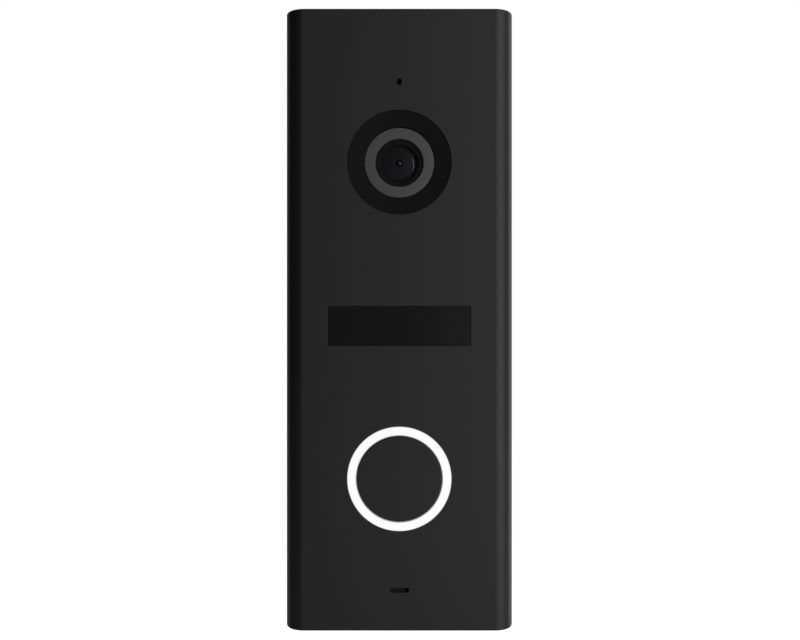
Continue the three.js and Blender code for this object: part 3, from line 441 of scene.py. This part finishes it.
def block(name, low, high, bevel=0.0):
    """A box between two corners, with round edges if bevel is over 0."""
    made = bmesh.new()
    bmesh.ops.create_cube(made, size=1.0)
    middle = (Vector(low) + Vector(high)) / 2 * MM
    span = (Vector(high) - Vector(low)) * MM
    placed = Matrix.Translation(middle) @ Matrix.Diagonal(span.to_4d())
    bmesh.ops.transform(made, matrix=placed, verts=made.verts)
    if bevel > 0:
        edges = made.edges[:]
        bmesh.ops.bevel(made, geom=edges, offset=bevel * MM, segments=3, profile=0.5, affect="EDGES")
    mesh = bpy.data.meshes.new(name)
    made.to_mesh(mesh)
    made.free()
    return mesh


def upended(mesh, x, y, z):
    """Turns a mesh made round the Y axis to stand along Z with its back face down, at (x, y, z)."""
    mesh.transform(Matrix.Translation(Vector((x, y, z)) * MM) @ Matrix.Rotation(math.radians(-90), 4, "X"))
    return mesh


def combined(name, base, operation, tools):
    """The base mesh with tool meshes cut from it or added to it."""
    holder = bpy.data.objects.new(name, base)
    scene = bpy.context.scene.collection.objects
    scene.link(holder)
    helpers = [bpy.data.objects.new("tool", tool) for tool in tools]
    for helper in helpers:
        scene.link(helper)
        modifier = holder.modifiers.new("combine", "BOOLEAN")
        modifier.operation = operation
        modifier.object = helper
        modifier.solver = "EXACT"
    bpy.context.view_layer.update()
    result = bpy.data.meshes.new_from_object(holder.evaluated_get(bpy.context.evaluated_depsgraph_get()))
    for obj in [holder, *helpers]:
        bpy.data.objects.remove(obj)
    result.name = name
    return result


def cut(name, base, *tools):
    return combined(name, base, "DIFFERENCE", tools)


def join(name, base, *tools):
    return combined(name, base, "UNION", tools)


def smooth(obj):
    """Round surfaces shade smoothly, and flat ones stay flat up to their edges."""
    obj.data.shade_smooth()
    obj.data.set_sharp_from_angle(angle=SMOOTH_ANGLE)
    weighted = obj.modifiers.new("weighted normals", "WEIGHTED_NORMAL")
    weighted.keep_sharp = True


def stand_in(mesh, *nodes):
    """Puts a finished mesh into the scene in place of CAD nodes, on the first one's body."""
    obj = bpy.data.objects.new(mesh.name, mesh)
    bpy.context.scene.collection.objects.link(obj)
    smooth(obj)
    paint(obj, SLOTS[nodes[0]])
    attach(obj, BODIES[nodes[0]])
    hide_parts(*nodes)
    return obj


def extra_piece(mesh, body, slot):
    """A small visible detail that the CAD model leaves out."""
    obj = bpy.data.objects.new(mesh.name, mesh)
    bpy.context.scene.collection.objects.link(obj)
    smooth(obj)
    paint(obj, slot)
    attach(obj, body)


# ---------------------------------------------------------------- front shell

WALL = 2.0
EDGE_RADIUS = 3.75
END_ROUNDING = 0.25
HOLE_CHAMFER = 0.03
WINDOW_CHAMFER = 0.05
SMALL_CHAMFER = 0.02
THROUGH = 1.0
SEAL_THICKNESS = 0.4
LEDGE_REACH = 2.0
LEDGE_FRONT = -6.0
LEDGE_BACK = -4.5
CAMERA_HOLE_RADIUS = 10.25
RING_HOLE_RADIUS = 10.28
WINDOW_WIDTH = 28.0
WINDOW_HEIGHT = 7.7
WINDOW_CORNER = 0.12
MICROPHONE_HOLE_WIDTH = 0.95
MICROPHONE_HOLE_HEIGHT = 1.3
SHADE_MARGIN = 0.05
SOUND_SLOT_WIDTH = 3.65
SOUND_SLOT_HEIGHT = 0.92
SOUND_SLOT_CORNER = 0.28
SOUND_SLOT_DEPTH = 0.7
SOUND_SLOT_Z = 8.0 - HALF_HEIGHT
SOUND_HOLE_RADIUS = 0.45
SOUND_HOLE_X = 1.475


def flared_hole(radius, x, z):
    """A round cutter through the front wall that leaves a chamfered rim."""
    return turned("hole", [
        (radius + HOLE_CHAMFER + THROUGH, FRONT - THROUGH),
        (radius, FRONT + HOLE_CHAMFER),
        (radius, FRONT + WALL + THROUGH),
    ], x, z)


def flared_slot(wide, high, radius, x, z, depth, flare):
    """The same for a hole with round corners, to a chosen depth."""
    outer = flare + THROUGH
    return skin("slot", [
        rectangle(wide + 2 * outer, high + 2 * outer, radius + outer, FRONT - THROUGH, x, z),
        rectangle(wide, high, radius, FRONT + flare, x, z),
        rectangle(wide, high, radius, FRONT + depth, x, z),
    ])


def end_rounding():
    """(inset, distance from the end) pairs round an edge, from the end face inwards."""
    steps = 3
    turns = [math.radians(90 * step / steps) for step in range(steps + 1)]
    return [(END_ROUNDING * (1 - math.sin(turn)), END_ROUNDING * (1 - math.cos(turn))) for turn in turns]


def ledge(side, clearance=0.0):
    """The rib along one side wall that carries the gasket."""
    inner = HALF_WIDTH - WALL
    across = sorted((side * (inner - LEDGE_REACH - clearance), side * (inner + WALL / 2)))
    low = (across[0], LEDGE_FRONT - clearance, -HALF_HEIGHT)
    high = (across[1], LEDGE_BACK + clearance, HALF_HEIGHT)
    return block("ledge", low, high)


def channel():
    """The extrusion: a round-fronted channel with a ledge along each side."""
    back = SHELL_HIGH.y
    lower = [(inset, -HALF_HEIGHT + rise) for inset, rise in end_rounding()]
    ends = lower + [(inset, -z) for inset, z in reversed(lower)]
    outside = skin("outside", [
        round_fronted(HALF_WIDTH - inset, FRONT + inset, back, EDGE_RADIUS - inset, z)
        for inset, z in ends])
    reach = HALF_HEIGHT + THROUGH
    inside = skin("inside", [
        round_fronted(HALF_WIDTH - WALL, FRONT + WALL, back + THROUGH, EDGE_RADIUS - WALL, z)
        for z in (-reach, reach)])
    return join("channel", cut("channel", outside, inside), ledge(-1), ledge(1))


def front_shell():
    camera, button, window = centre("camera_bezel"), centre("light_ring"), centre("ir_window")
    microphone = centre("microphone")
    behind_wall = WALL + THROUGH
    pinhole_corner = MICROPHONE_HOLE_WIDTH * 0.49
    sound_hole = [(SOUND_HOLE_RADIUS, FRONT), (SOUND_HOLE_RADIUS, FRONT + behind_wall)]
    return cut(
        "front_shell_fine", channel(),
        flared_hole(CAMERA_HOLE_RADIUS, camera.x, camera.z),
        flared_hole(RING_HOLE_RADIUS, button.x, button.z),
        flared_slot(
            WINDOW_WIDTH, WINDOW_HEIGHT, WINDOW_CORNER, window.x, window.z, behind_wall, WINDOW_CHAMFER),
        flared_slot(
            MICROPHONE_HOLE_WIDTH, MICROPHONE_HOLE_HEIGHT, pinhole_corner,
            microphone.x, microphone.z, behind_wall, SMALL_CHAMFER),
        flared_slot(
            SOUND_SLOT_WIDTH, SOUND_SLOT_HEIGHT, SOUND_SLOT_CORNER,
            0, SOUND_SLOT_Z, SOUND_SLOT_DEPTH, SMALL_CHAMFER),
        turned("hole", sound_hole, SOUND_HOLE_X, SOUND_SLOT_Z, SMALL),
    )


def shade_sound_openings(shell):
    """The walls of the pinhole and the sound slot are painted shade: they get a dull black rubber finish
    that darkens these recesses.
    """
    shell.data.materials.append(MATERIALS["black_rubber"])
    shaded_openings = [
        (centre("microphone").z, MICROPHONE_HOLE_WIDTH, MICROPHONE_HOLE_HEIGHT),
        (SOUND_SLOT_Z, SOUND_SLOT_WIDTH + SOUND_HOLE_RADIUS, SOUND_SLOT_HEIGHT),
    ]
    for face in shell.data.polygons:
        middle = face.center / MM
        inside_wall = FRONT + SHADE_MARGIN < middle.y < FRONT + WALL - SHADE_MARGIN
        for z, wide, high in shaded_openings:
            across = abs(middle.x) < wide / 2 + SMALL_CHAMFER
            upwards = abs(middle.z - z) < high / 2 + SMALL_CHAMFER
            if inside_wall and across and upwards:
                face.material_index = 1


SHELL = stand_in(front_shell(), "front_shell")
# Painted shade: the walls of the pinhole and the sound slot are made dull black rubber.
shade_sound_openings(SHELL)


# ---------------------------------------------------------------- camera

CAMERA = centre("camera_bezel")
RETAINER_SINK = 0.5
RETAINER_THICKNESS = 0.9
FRONT_ELEMENT_THICKNESS = 1.6
LENS_THREAD_PITCH = 0.4
LENS_THREAD_DEPTH = 0.18


def round_rim(radius, front, rounding, steps=4, inward=False):
    """Profile points round the front outer rim of a turned body, from its face to its side."""
    side = -1 if inward else 1
    turns = [math.radians(90 * i / steps) for i in range(steps + 1)]
    return [
        (radius - side * rounding * (1 - math.sin(turn)), front + rounding * (1 - math.cos(turn)))
        for turn in turns]


def camera_bezel():
    """Dished front, outer rim, clamping lip behind the wall, sleeve and O-ring groove."""
    bore, rim, lip, sleeve, groove = 7.0, 10.22, 11.7, 8.4, 7.72
    front = low_corner("camera_bezel").y
    dish = front + 0.4
    wall_back = FRONT + WALL
    lip_back = wall_back + 1.1
    sleeve_back = FRONT + 4.6
    groove_front, groove_back = FRONT + 2.74, FRONT + 3.66
    profile = [
        *reversed(round_rim(bore, dish, 0.12, inward=True)),
        *round_rim(rim, front, 0.06),
        (rim, wall_back),
        (lip, wall_back),
        (lip, lip_back),
        (sleeve, lip_back),
        (sleeve, sleeve_back),
        (bore, sleeve_back),
        (bore, groove_back),
        (groove, groove_back),
        (groove, groove_front),
        (bore, groove_front),
    ]
    return turned("camera_bezel_fine", profile, CAMERA.x, CAMERA.z, closed=True)


def lens_barrel():
    """Grey head with a stepped mouth, a threaded body and a seat for each of the two elements."""
    head, crest, mouth, front_seat, light_path, rear_seat = 6.9, 6.0, 4.725, 4.0, 2.4, 3.3
    root = crest - LENS_THREAD_DEPTH
    broken_edge = 0.1
    front, back = low_corner("lens_barrel").y, high_corner("lens_barrel").y
    head_back = front + 4.4
    retainer_back = front + RETAINER_SINK + RETAINER_THICKNESS
    element_back = retainer_back + FRONT_ELEMENT_THICKNESS
    rear_stop = back - 2.1
    threads = []
    y = head_back + 1.5 * LENS_THREAD_PITCH
    while y < back - LENS_THREAD_PITCH:
        threads += [(root, y), (crest, y + LENS_THREAD_PITCH / 2)]
        y += LENS_THREAD_PITCH
    profile = [
        (mouth, front + broken_edge),
        (mouth + broken_edge, front),
        *round_rim(head, front, 2 * broken_edge),
        (head, head_back),
        (root, head_back),
        *threads,
        (root, back),
        (rear_seat, back),
        (rear_seat, rear_stop),
        (light_path, rear_stop),
        (light_path, element_back),
        (front_seat, element_back),
        (front_seat, retainer_back),
        (mouth, retainer_back),
    ]
    return turned("lens_barrel_fine", profile, CAMERA.x, CAMERA.z, closed=True)


def lens_retaining_ring():
    """A ring with a two-step bevel round its hole and a broken outer edge."""
    inner, outer = 3.5, 4.7
    bevel_width, bevel_depth, broken_edge = 0.35, 0.4, 0.08
    front, back = low_corner("lens_retaining_ring").y, high_corner("lens_retaining_ring").y
    profile = [
        (inner, back),
        (inner, front + bevel_depth),
        (inner + bevel_width / 3, front + bevel_depth / 2),
        (inner + bevel_width, front),
        (outer - broken_edge, front),
        (outer, front + broken_edge),
        (outer, back),
    ]
    return turned("lens_retaining_ring_fine", profile, CAMERA.x, CAMERA.z, closed=True)


def lens_front_element():
    """A spherical front face on a round disc."""
    rim, body, rise = 3.4, 3.9, 0.85
    back = high_corner("lens_front_element").y
    seat = back - FRONT_ELEMENT_THICKNESS
    sphere = (rim ** 2 + rise ** 2) / (2 * rise)
    widest = math.asin(rim / sphere)
    steps = 24
    angles = [widest * (1 - i / steps) for i in range(steps)] + [widest / steps / 4]
    dome = [(sphere * math.sin(a), seat - rise + sphere * (1 - math.cos(a))) for a in angles]
    profile = [(rim / 8, back), (body, back), (body, seat), *dome]
    return turned("lens_front_element_fine", profile, CAMERA.x, CAMERA.z)


stand_in(camera_bezel(), "camera_bezel")
stand_in(lens_barrel(), "lens_barrel")
stand_in(lens_retaining_ring(), "lens_retaining_ring")
LENS = stand_in(lens_front_element(), "lens_front_element")


# ---------------------------------------------------------------- microphone


def microphone():
    """A can with a rolled front edge, and two pins to the board."""
    place = centre("microphone")
    radius, rolled, height, dimple, broken_edge = 3.0, 0.35, 2.2, 0.08, 0.1
    pin_radius, pin_offset = 0.25, 1.27
    front, pin_back = low_corner("microphone").y, high_corner("microphone").y
    back = front + height
    can = turned("can", [
        (2 * broken_edge, front + dimple),
        (radius - 2 * rolled, front + dimple),
        (radius - 1.5 * rolled, front),
        *round_rim(radius, front, rolled),
        (radius, back - broken_edge),
        (radius - broken_edge, back),
        (2 * broken_edge, back),
    ], place.x, place.z, MEDIUM)
    pin = [
        (pin_radius, back - broken_edge),
        (pin_radius, pin_back - broken_edge),
        (pin_radius - broken_edge, pin_back),
    ]
    pins = [turned("pin", pin, place.x + side * pin_offset, place.z, SMALL) for side in (-1, 1)]
    return join("microphone_fine", can, *pins)


def microphone_felt():
    """The black felt glued over the can's sound hole, in the mouth of the boot."""
    place = centre("microphone")
    radius, thickness, soft_edge, clearance = 0.75, 0.28, 0.08, 0.02
    back = low_corner("microphone").y - clearance
    front = back - thickness
    return turned("microphone_felt", [
        (soft_edge, front),
        (radius - soft_edge, front),
        (radius, front + soft_edge),
        (radius, back),
        (soft_edge, back),
    ], place.x, place.z, SMALL)


stand_in(microphone(), "microphone")
extra_piece(microphone_felt(), "housing", "black_rubber")


# ---------------------------------------------------------------- infrared window


def ir_window():
    """A plate in the wall's opening with a wider flange behind the wall."""
    place = centre("ir_window")
    gap, flange_reach, flange_corner = 0.04, 1.4, 0.6
    front, back = low_corner("ir_window").y, high_corner("ir_window").y
    flange_front = FRONT + WALL + SEAL_THICKNESS
    edge = [(inset, front + depth) for inset, depth in ((0.04, 0), (0.01, 0.02), (0, 0.06))]
    plate = [(gap + inset, WINDOW_CORNER - inset, y) for inset, y in [*edge, (0, flange_front)]]
    flange = [(-flange_reach, flange_corner, y) for y in (flange_front, back)]
    return skin("ir_window_fine", [
        rectangle(WINDOW_WIDTH - 2 * inset, WINDOW_HEIGHT - 2 * inset, corner, y, place.x, place.z)
        for inset, corner, y in plate + flange])


stand_in(ir_window(), "ir_window")


# ---------------------------------------------------------------- call button

BUTTON = centre("light_ring")


def light_ring():
    """A ring with softened edges and a lip that the seal presses against the wall."""
    lip, softened = 11.8, 0.06
    front, back = low_corner("light_ring").y, high_corner("light_ring").y
    lip_front = FRONT + WALL + SEAL_THICKNESS
    profile = [
        (RING_INNER_RADIUS, back),
        *reversed(round_rim(RING_INNER_RADIUS, front, softened, inward=True)),
        *round_rim(RING_OUTER_RADIUS, front, softened),
        (RING_OUTER_RADIUS, lip_front),
        (lip, lip_front),
        (lip, back),
    ]
    return turned("light_ring_fine", profile, BUTTON.x, BUTTON.z, closed=True)


def call_button():
    """A hollow cap with a rounded edge, a stem and three lugs that stop it behind the ring."""
    radius, wall, stem, rounding, top = 8.35, 1.0, 2.2, 0.22, 1.7
    lug_count, lug_half_width, lug_reach, lug_thickness, lug_bevel = 3, 2.0, 0.9, 0.9, 0.12
    front, back = low_corner("call_button").y, high_corner("call_button").y
    skirt_back = front + 4.35
    cap = turned("cap", [
        (stem / 4, front),
        *round_rim(radius, front, rounding),
        (radius, skirt_back),
        (radius - wall, skirt_back),
        (radius - wall, front + top),
        (stem, front + top),
        (stem, back),
        (stem / 4, back),
    ], BUTTON.x, BUTTON.z)
    lugs = []
    for i in range(lug_count):
        low = (-lug_half_width, skirt_back - lug_thickness, radius - wall / 2)
        high = (lug_half_width, skirt_back, radius + lug_reach)
        lug = block("lug", low, high, lug_bevel)
        turn = Matrix.Rotation(2 * math.pi * i / lug_count, 4, "Y")
        lug.transform(Matrix.Translation(Vector((BUTTON.x, 0, BUTTON.z)) * MM) @ turn)
        lugs.append(lug)
    return join("call_button_fine", cap, *lugs)


stand_in(light_ring(), "light_ring")
stand_in(call_button(), "call_button")


# ---------------------------------------------------------------- ends

END_GAP = 0.1
END_OVERLAP = 0.1
END_THICKNESS = 2.0
BAY_FRONT = -9.0
BAY_HALF_WIDTH = 6.0
BAY_TOP = -56.0
BLOCK_FRONT = -10.3
BLOCK_TOP = -54.0
LOCK_Y = centre("lock_screw").y
LOCK_HEAD_RADIUS = 2.7
LOCK_HOLE_RADIUS = 1.6
SCREW_HEAD_HEIGHT = 1.3


def end_plate(name, side):
    """The flat wall of one end. side is 1 at the top and -1 at the bottom."""
    half = HALF_WIDTH - WALL - END_GAP
    front, back, radius = FRONT + WALL + END_GAP, SHELL_HIGH.y, EDGE_RADIUS - WALL
    outer = [(inset / 2, HALF_HEIGHT - rise / 2) for inset, rise in end_rounding()]
    rows = outer + [(0, HALF_HEIGHT - END_THICKNESS)]
    plate = skin(name, [
        round_fronted(half - inset, front + inset, back - inset, radius - inset, side * z)
        for inset, z in rows])
    return cut(name, plate, ledge(-1, END_GAP), ledge(1, END_GAP))


def end_block(name, front, z_low, z_high):
    span = HALF_WIDTH - WALL - LEDGE_REACH - END_GAP
    return block(name, (-span, front, z_low), (span, LEDGE_BACK, z_high))


def top_end_cap():
    inside = HALF_HEIGHT - END_THICKNESS
    rib = end_block("rib", LEDGE_FRONT, inside - LEDGE_REACH, inside + END_OVERLAP)
    return join("top_end_cap_fine", end_plate("end", 1), rib)


def bottom_end_cap():
    """A flat end with a bay behind it for the bracket's flange and the screw that holds it."""
    inside = -HALF_HEIGHT + END_THICKNESS
    thick_part = end_block("block", BLOCK_FRONT, inside - END_OVERLAP, BLOCK_TOP)
    solid = join("end", end_plate("end", -1), thick_part)
    bay_low = (-BAY_HALF_WIDTH, BAY_FRONT, inside)
    bay_high = (BAY_HALF_WIDTH, LEDGE_BACK + THROUGH, BAY_TOP)
    bay = block("bay", bay_low, bay_high)
    head, hole = LOCK_HEAD_RADIUS + END_GAP, LOCK_HOLE_RADIUS
    countersink = upended(turned("countersink", [
        (head + THROUGH, THROUGH),
        (head, 0),
        (hole, -SCREW_HEAD_HEIGHT),
        (hole, -END_THICKNESS - THROUGH),
    ], sides=MEDIUM), 0, LOCK_Y, -HALF_HEIGHT)
    return cut("bottom_end_cap_fine", solid, bay, countersink)


stand_in(top_end_cap(), "top_end_cap")
stand_in(bottom_end_cap(), "bottom_end_cap")


# ---------------------------------------------------------------- screws

THREAD_PITCH = 0.5
THREAD_DEPTH = 0.14
LOCK_SCREW_RADIUS = 1.5
HOUSING_SCREW_RADIUS = 1.2
HOUSING_HEAD_RADIUS = 2.3


def cross_recess(head_radius, head_back, x, z):
    """The two tapered blades that cut a cross into a screw's head."""
    length, width, depth, taper, corner = head_radius * 1.2, 0.6, 0.8, 0.6, 0.08
    return [
        skin("blade", [
            rectangle(wide, high, corner, head_back + THROUGH, x, z, steps=2),
            rectangle(wide, high, corner, head_back, x, z, steps=2),
            rectangle(wide * taper, high * taper, corner * taper, head_back - depth, x, z, steps=2),
        ])
        for wide, high in ((length, width), (width, length))]


def countersunk_screw(name, radius, head_radius, tip, head_back, x=0.0, z=0.0):
    """A screw along Y with a rimmed flat head, rolled thread, pointed end and cross recess."""
    rim, axis_hole = 0.1, 0.1
    root = radius - THREAD_DEPTH
    neck = head_back - SCREW_HEAD_HEIGHT
    threads = []
    y = neck - THREAD_PITCH / 2
    while y > tip + radius:
        threads += [(radius, y), (root, y - THREAD_PITCH / 2)]
        y -= THREAD_PITCH
    body = turned(name, [
        (axis_hole, head_back),
        (head_radius - rim, head_back),
        (head_radius, head_back - rim),
        (head_radius - rim / 2, head_back - 2 * rim),
        (root, neck),
        *threads,
        (radius / 2, tip),
        (axis_hole, tip),
    ], x, z, MEDIUM)
    return cut(name, body, *cross_recess(head_radius, head_back, x, z))


def lock_screw():
    low, high = low_corner("lock_screw"), high_corner("lock_screw")
    mesh = countersunk_screw("lock_screw_fine", LOCK_SCREW_RADIUS, LOCK_HEAD_RADIUS, low.z - high.z, 0)
    return upended(mesh, 0, LOCK_Y, low.z)


def housing_screw(node):
    place = centre(node)
    tip, head_back = low_corner(node).y, high_corner(node).y
    return countersunk_screw(
        f"{node}_fine", HOUSING_SCREW_RADIUS, HOUSING_HEAD_RADIUS, tip, head_back, place.x, place.z)


stand_in(lock_screw(), "lock_screw")

for number in range(1, 5):
    screw = f"housing_screw_{number}"
    stand_in(housing_screw(screw), screw)


# ---------------------------------------------------------------- wall bracket and cable inlet


SHEET = 1.2
SHEET_CORNER = 3.0
SHEET_EDGE = 0.1
BEND = 0.5
HOOK_X = 7.0
HOOK_WIDTH = 5.0
HOOK_FRONT = -5.4
HOOK_Z = 46.8
HOOK_TOP = 51.5
HOOK_HOLE_HEIGHT = 5.5
FLANGE_WIDTH = 10.0
BRACKET_LOW = low_corner("wall_bracket")
BRACKET_HIGH = high_corner("wall_bracket")

# Width, height, corner radius, x and z of each opening: cable, two wall screws, two under the hooks.
BRACKET_OPENINGS = [
    (14, 20, 6.99, centre("cable_grommet").x, centre("cable_grommet").z),
    (8, 4.4, 2.19, 0, 41),
    (4.4, 8, 2.19, 0, -47),
    (HOOK_WIDTH, HOOK_HOLE_HEIGHT, 0.3, -HOOK_X, HOOK_Z + SHEET + HOOK_HOLE_HEIGHT / 2),
    (HOOK_WIDTH, HOOK_HOLE_HEIGHT, 0.3, HOOK_X, HOOK_Z + SHEET + HOOK_HOLE_HEIGHT / 2),
]


def bracket_opening(wide, high, radius, x, z):
    """A cutter through the bracket's sheet that leaves a broken edge on both faces."""
    outer = SHEET_EDGE + THROUGH
    return skin("opening", [
        rectangle(wide + 2 * outer, high + 2 * outer, radius + outer, THROUGH, x, z, steps=16),
        rectangle(wide, high, radius, -SHEET_EDGE, x, z, steps=16),
        rectangle(wide, high, radius, SHEET_EDGE - SHEET, x, z, steps=16),
        rectangle(wide + 2 * outer, high + 2 * outer, radius + outer, -SHEET - THROUGH, x, z, steps=16),
    ])


def bracket_sheet():
    """The flat plate, with its edges softened on both faces."""
    soft = SHEET_EDGE * 0.3
    back_rows = [(SHEET_EDGE, 0), (soft, -soft), (0, -SHEET_EDGE)]
    rows = back_rows + [(inset, -SHEET - y) for inset, y in reversed(back_rows)]
    return skin("sheet", [
        rectangle(
            2 * (BRACKET_HIGH.x - inset), 2 * (BRACKET_HIGH.z - inset), SHEET_CORNER - inset, y, steps=16)
        for inset, y in rows])


def hook_outline():
    """From the sheet forwards, round the bend and up to the tip, then back."""
    bend_y, bend_z = HOOK_FRONT + SHEET + BEND, HOOK_Z + SHEET + BEND
    inner_front = HOOK_FRONT + SHEET
    return [
        (0, HOOK_Z),
        *arc(bend_y, bend_z, SHEET + BEND, 270, 180, steps=10),
        (HOOK_FRONT, HOOK_TOP - 2 * SHEET_EDGE),
        (HOOK_FRONT + 2 * SHEET_EDGE, HOOK_TOP),
        (inner_front - 2 * SHEET_EDGE, HOOK_TOP),
        (inner_front, HOOK_TOP - 2 * SHEET_EDGE),
        *arc(bend_y, bend_z, BEND, 180, 270, steps=6),
        (0, HOOK_Z + SHEET),
    ]


def flange_outline():
    """Along the underside to the front edge of the flange, then back to the sheet."""
    front, bottom = BRACKET_LOW.y, BRACKET_LOW.z
    top = bottom + SHEET
    return [
        (0, bottom),
        (front + 2 * SHEET_EDGE, bottom),
        (front, bottom + 2 * SHEET_EDGE),
        (front, top - 2 * SHEET_EDGE),
        (front + 2 * SHEET_EDGE, top),
        *arc(-SHEET - BEND, top + BEND, BEND, 270, 360, steps=6),
        (0, top + BEND),
    ]


def folded_strip(name, outline, x, wide):
    """An outline in Y and Z given width along X, with lightly broken edges."""
    return skin(name, [[(x + side * wide / 2, y, z) for y, z in outline] for side in (-1, 1)])


def wall_bracket():
    """A sheet with slots, two hooks folded out of it and a flange for the lock screw."""
    openings = [bracket_opening(*opening) for opening in BRACKET_OPENINGS]
    hooks = [folded_strip("hook", hook_outline(), x, HOOK_WIDTH) for x in (-HOOK_X, HOOK_X)]
    flange = folded_strip("flange", flange_outline(), 0, FLANGE_WIDTH)
    thread = turned("thread", [
        (LOCK_HOLE_RADIUS, -THROUGH - SHEET),
        (LOCK_HOLE_RADIUS, THROUGH),
    ], sides=SMALL)
    pressed = join("pressed", cut("sheet", bracket_sheet(), *openings), *hooks, flange)
    return cut("wall_bracket_fine", pressed, upended(thread, 0, LOCK_Y, BRACKET_LOW.z))


def cable_grommet():
    """A rubber sleeve with a round lip on each side of the rear cover."""
    place = centre("cable_grommet")
    front, back = low_corner("cable_grommet").y, high_corner("cable_grommet").y
    bore, neck, lip, lip_thickness = 3.2, 4.68, 6.0, 1.2
    mouth, rounding = 0.3, 0.5
    return turned("cable_grommet_fine", [
        *reversed(round_rim(bore, front, mouth, inward=True)),
        *round_rim(lip, front, rounding),
        (lip, front + lip_thickness),
        (neck, front + lip_thickness),
        (neck, back - lip_thickness),
        (lip, back - lip_thickness),
        (lip, back - rounding),
        (lip - 0.3 * rounding, back - 0.3 * rounding),
        (lip - rounding, back),
        (bore + mouth, back),
        (bore, back - mouth),
    ], place.x, place.z, closed=True)


stand_in(wall_bracket(), "wall_bracket")
stand_in(cable_grommet(), "cable_grommet")


# ---------------------------------------------------------------- finishes of the CAD nodes


def finish_cad_nodes():
    """Every CAD node gets its finish."""
    for node, slot in SLOTS.items():
        paint(frame["nodes"][node], slot)


finish_cad_nodes()


# ---------------------------------------------------------------- stage, light and camera
# Distances from here on are in metres.

FLOOR_DROP = 0.4
FLOOR_HALF = 3.0
FLOOR_GLOW = 0.05
WORLD_GLOW = 0.02


def seen_or_lit(tree, glow):
    """1 where the stage itself is seen, which makes it plain white, and a faint glow as a light."""
    seen = tree.nodes.new("ShaderNodeLightPath").outputs["Is Camera Ray"]
    level = tree.nodes.new("ShaderNodeMapRange")
    tree.links.new(seen, level.inputs["Value"])
    level.inputs["To Min"].default_value = glow
    level.inputs["To Max"].default_value = 1.0
    return level.outputs["Result"]


def pale_floor():
    mesh = bpy.data.meshes.new("floor")
    made = bmesh.new()
    bmesh.ops.create_grid(made, x_segments=2, y_segments=2, size=FLOOR_HALF)
    made.to_mesh(mesh)
    made.free()
    floor = bpy.data.objects.new("floor", mesh)
    floor.location.z = -HALF_HEIGHT * MM - FLOOR_DROP
    bpy.context.scene.collection.objects.link(floor)
    g = Graph("floor_white")
    normal = g.bump(g.noise(scale=4), distance=0.0001, strength=0.1)
    shader = g.shader(grey(0.6), 0.9, normal, emission_color=grey(1.0))
    g.feed(seen_or_lit(g.tree, FLOOR_GLOW), shader.inputs["Emission Strength"])
    mesh.materials.append(g.material)


def soft_light(name, azimuth, elevation, distance, wide, high, brightness):
    """A rectangular softbox that faces the object. Azimuth is to the right of the front, in degrees."""
    across, up = math.radians(azimuth), math.radians(elevation)
    direction = Vector((math.sin(across) * math.cos(up), -math.cos(across) * math.cos(up), math.sin(up)))
    data = bpy.data.lights.new(name, "AREA")
    data.shape = "RECTANGLE"
    data.size = wide
    data.size_y = high
    data.energy = brightness * math.pi * wide * high
    lamp = bpy.data.objects.new(name, data)
    lamp.location = direction * distance
    lamp.rotation_euler = direction.to_track_quat("Z", "Y").to_euler()
    lamp.visible_camera = False
    bpy.context.scene.collection.objects.link(lamp)
    return lamp


def white_studio():
    world = bpy.data.worlds.new("studio")
    world.use_nodes = True
    background = world.node_tree.nodes["Background"]
    glow = seen_or_lit(world.node_tree, WORLD_GLOW)
    world.node_tree.links.new(glow, background.inputs["Strength"])
    background.inputs["Color"].default_value = grey(1.0)
    bpy.context.scene.world = world
    bpy.context.scene.view_settings.view_transform = "Standard"


CARD_DISTANCE = 1.0
CARD_ELEVATION = 4
CARD_HEIGHT = 1.4

# Name, start and end azimuth, brightness. Most of the light comes from the right.
FRONT_CARDS = [
    ("left card", -22, 3, 0.30),
    ("middle card", 3, 15, 0.70),
    ("right card", 15, 23, 0.70),
    ("bright strip", 23, 46, 1.50),
    ("outer card", 46, 66, 1.20),
    ("side card", 66, 88, 0.40),
    ("rim card", 98, 140, 0.85),
    ("left rim card", -140, -116, 0.20),
]


def lighting(lens):
    """Soft cards round the front, and two small lamps that only glint in the lens."""
    white_studio()
    for name, start, stop, brightness in FRONT_CARDS:
        wide = 2 * CARD_DISTANCE * math.tan(math.radians(stop - start) / 2)
        soft_light(name, (start + stop) / 2, CARD_ELEVATION, CARD_DISTANCE, wide, CARD_HEIGHT, brightness)
    soft_light("top", azimuth=180, elevation=70, distance=1.0, wide=1.0, high=0.8, brightness=0.8)
    soft_light("back", azimuth=180, elevation=10, distance=1.0, wide=0.8, high=1.2, brightness=0.6)
    lens_only = bpy.data.collections.new("lit by the lens lamps")
    lens_only.objects.link(lens)
    for lamp in (
        soft_light(
            "lens glint", azimuth=2, elevation=13.4, distance=0.6, wide=0.05, high=0.05, brightness=75),
        soft_light(
            "lens arc", azimuth=46, elevation=10, distance=1.0, wide=0.06, high=0.9, brightness=40),
    ):
        lamp.light_linking.receiver_collection = lens_only
        lamp.visible_diffuse = False


CAMERA_DISTANCE = 0.165
SENSOR = 36.0
FOCAL_IN_WIDTHS = 1.0527
CAMERA_OFFSET_X = 0.000128
CAMERA_OFFSET_Z = -0.00005


def make_camera():
    data = bpy.data.cameras.new("camera")
    data.sensor_width = SENSOR
    data.lens = SENSOR * FOCAL_IN_WIDTHS
    data.clip_start = 0.01
    camera = bpy.data.objects.new("camera", data)
    camera.location = (CAMERA_OFFSET_X, FRONT * MM - CAMERA_DISTANCE, CAMERA_OFFSET_Z)
    camera.rotation_euler = (math.radians(90), 0, 0)
    bpy.context.scene.collection.objects.link(camera)
    bpy.context.scene.camera = camera


pale_floor()
lighting(LENS)
make_camera()
